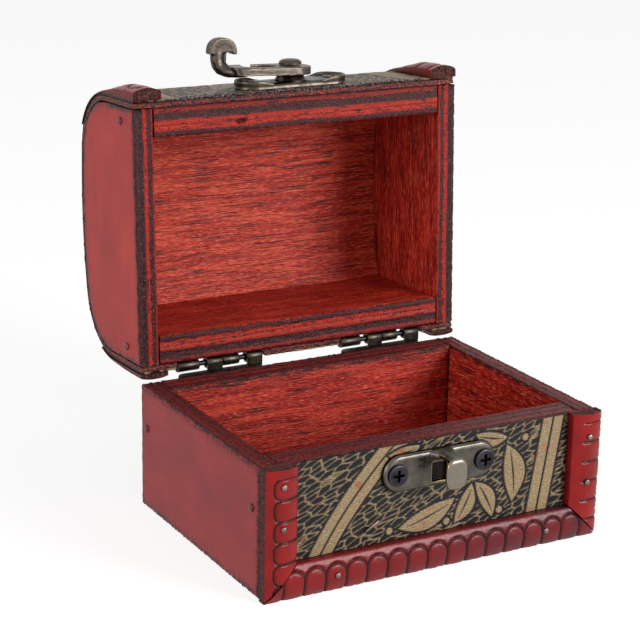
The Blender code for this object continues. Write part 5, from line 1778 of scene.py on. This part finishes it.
def make_lint():
    """Fibres that stand out of the torn paper edge along the lid's front rim."""
    dice = random.Random(LINT_SEED)
    parts = []
    for _ in range(LINT_COUNT):
        run = dice.uniform(*LINT_RUN) * MM
        x = dice.uniform(-1, 1) * (SIDE - LID_STRIP_WIDTH - LINT_MARGIN)
        (y, z), (out_y, out_z) = (values[0] for values in dome_line([run]))
        depth = PAPER_THICKNESS * dice.uniform(*LINT_DEPTH_SHARES)
        seat = 2 * GLUE_GAP + SHEET_THICKNESS + depth
        start = Vector((x, y + out_y * seat, z + out_z * seat))
        lean = Vector((dice.gauss(0, 1), dice.uniform(*LINT_OUT), dice.uniform(*LINT_UP))).normalized()
        length = dice.uniform(*LINT_LENGTH) * MM
        thickness = dice.uniform(*LINT_THICKNESS) * MM
        turn = lean.to_track_quat("Z", "Y")
        rings = []
        for reach, width in LINT_STATIONS:
            middle = start + lean * length * reach
            corners = [Vector((math.cos(a), math.sin(a), 0)) * thickness * width for a in LINT_TURNS]
            rings.append([tuple(middle + turn @ corner) for corner in corners])
        parts.append(rings)
    points, faces = join(parts)
    mesh = bpy.data.meshes.new("paper_lint")
    mesh.from_pydata(points, [], faces)
    mesh.materials.append(paper_fibre)
    lint = add_item("paper_lint", mesh)
    lint.matrix_world = OPENING
    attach(lint, "lid")


# Everything in its place

make_base_boards()
for side_name in ("left", "right"):
    make_lid_end(f"lid_{side_name}_end", lid_end_ply)
make_lid_wall("lid_front_panel", 1, lid_wall_ply)
make_lid_wall("lid_back_panel", -1, lid_wall_ply)
make_dome_sheet()
make_front_paper()
make_dome_paper()
make_base_strips()
make_lid_strips()
make_nails()
for node in ("catch_screw_left", "catch_screw_right", "latch_screw_left", "latch_screw_right"):
    make_screw(node)
make_rivet()
make_hinges()
make_casting("swing_hook", hook_pewter, 0.12 * MM, 20, hook_extras(), slim_cap)
make_casting("latch_plate", hook_pewter, 0.13 * MM, 9, latch_extras())
make_casting("catch_plate", pewter, 0.13 * MM, 5, catch_extras(), marked=add_polish_and_shade)
make_stray_brad()
make_lint()


# Floor, light and camera

TABLE_HALF = 3.0
TABLE_GLOW = 0.8
AMBIENT = 0.3
LAMP_AIM = Vector((0, 0, 0.04))
# Name, place, size and watts
LAMPS = (
    ("key_softbox", (0.36, -0.62, 0.29), 0.3, 4.6),
    ("left_softbox", (-0.75, -0.16, 0.26), 0.4, 2.5),
)


def sees_background(tree):
    """1 for the rays that show the background: the camera's, and those in metal and gloss."""
    paths = add(tree, "LightPath")
    seen = add(tree, "Math", {0: paths["Is Camera Ray"], 1: paths["Is Glossy Ray"]}, operation="MAXIMUM")[0]
    return add(tree, "Math", {0: seen, 1: paths["Is Transmission Ray"]}, operation="MAXIMUM")[0]


def set_floor():
    """Plain pale table; the camera sees it white, with the box's soft shadow."""
    surface, tree, _ = new_surface("pale_table")
    seen = sees_background(tree)
    glow = add(tree, "Math", {0: seen, 1: TABLE_GLOW}, operation="MULTIPLY")[0]
    matt = coated(tree, srgb("#d8d6d4"), (seen, srgb("#a6a5a4")))
    glow = add(tree, "Emission", {"Color": srgb("#ffffff"), "Strength": glow})[0]
    matt = add(tree, "BsdfDiffuse", {"Color": matt})[0]
    both = add(tree, "AddShader", {0: glow, 1: matt})[0]
    add(tree, "OutputMaterial", {"Surface": both})
    mesh = bpy.data.meshes.new("table")
    corners = [(x * TABLE_HALF, y * TABLE_HALF, 0) for x, y in ((-1, -1), (1, -1), (1, 1), (-1, 1))]
    mesh.from_pydata(corners, [], [(0, 1, 2, 3)])
    mesh.materials.append(surface)
    add_item("table", mesh)


def set_world(ambient):
    """Even white surroundings; the camera and glossy surfaces see them as plain white."""
    world = bpy.data.worlds.new("white_studio")
    world.use_nodes = True
    tree = world.node_tree
    tree.nodes.clear()
    strength = add(tree, "Mix", {0: sees_background(tree), 2: ambient, 3: 1.0}, data_type="FLOAT")[0]
    light = add(tree, "Background", {"Color": srgb("#ffffff"), "Strength": strength})[0]
    add(tree, "OutputWorld", {"Surface": light})
    bpy.context.scene.world = world


def set_lamp(name, place, size, watts):
    """A square soft lamp that faces the box."""
    lamp = bpy.data.lights.new(name, "AREA")
    lamp.size = size
    lamp.energy = watts
    item = add_item(name, lamp)
    item.location = place
    item.rotation_euler = (LAMP_AIM - Vector(place)).to_track_quat("-Z", "Y").to_euler()


def set_camera():
    """The photograph's camera, turned about its own axis by the photograph's roll."""
    toward = Vector((
        -math.sin(CAMERA_YAW) * math.cos(CAMERA_PITCH),
        -math.cos(CAMERA_YAW) * math.cos(CAMERA_PITCH),
        math.sin(CAMERA_PITCH),
    ))
    right = toward.cross(Vector((0, 0, 1))) * -1
    right.normalize()
    up = toward.cross(right)
    leaned_right = math.cos(CAMERA_ROLL) * right + math.sin(CAMERA_ROLL) * up
    leaned_up = -math.sin(CAMERA_ROLL) * right + math.cos(CAMERA_ROLL) * up
    data = bpy.data.cameras.new("camera")
    data.sensor_width = SENSOR_WIDTH
    data.lens = CAMERA_LENS
    data.clip_start = 0.01
    camera = add_item("camera", data)
    turn = Matrix((leaned_right, leaned_up, toward)).transposed().to_4x4()
    place = CAMERA_TARGET + toward * CAMERA_DISTANCE
    camera.matrix_world = Matrix.Translation(place) @ turn
    bpy.context.scene.camera = camera


set_floor()
set_world(AMBIENT)
for lamp in LAMPS:
    set_lamp(*lamp)
set_camera()
bpy.context.scene.view_settings.view_transform = "Standard"
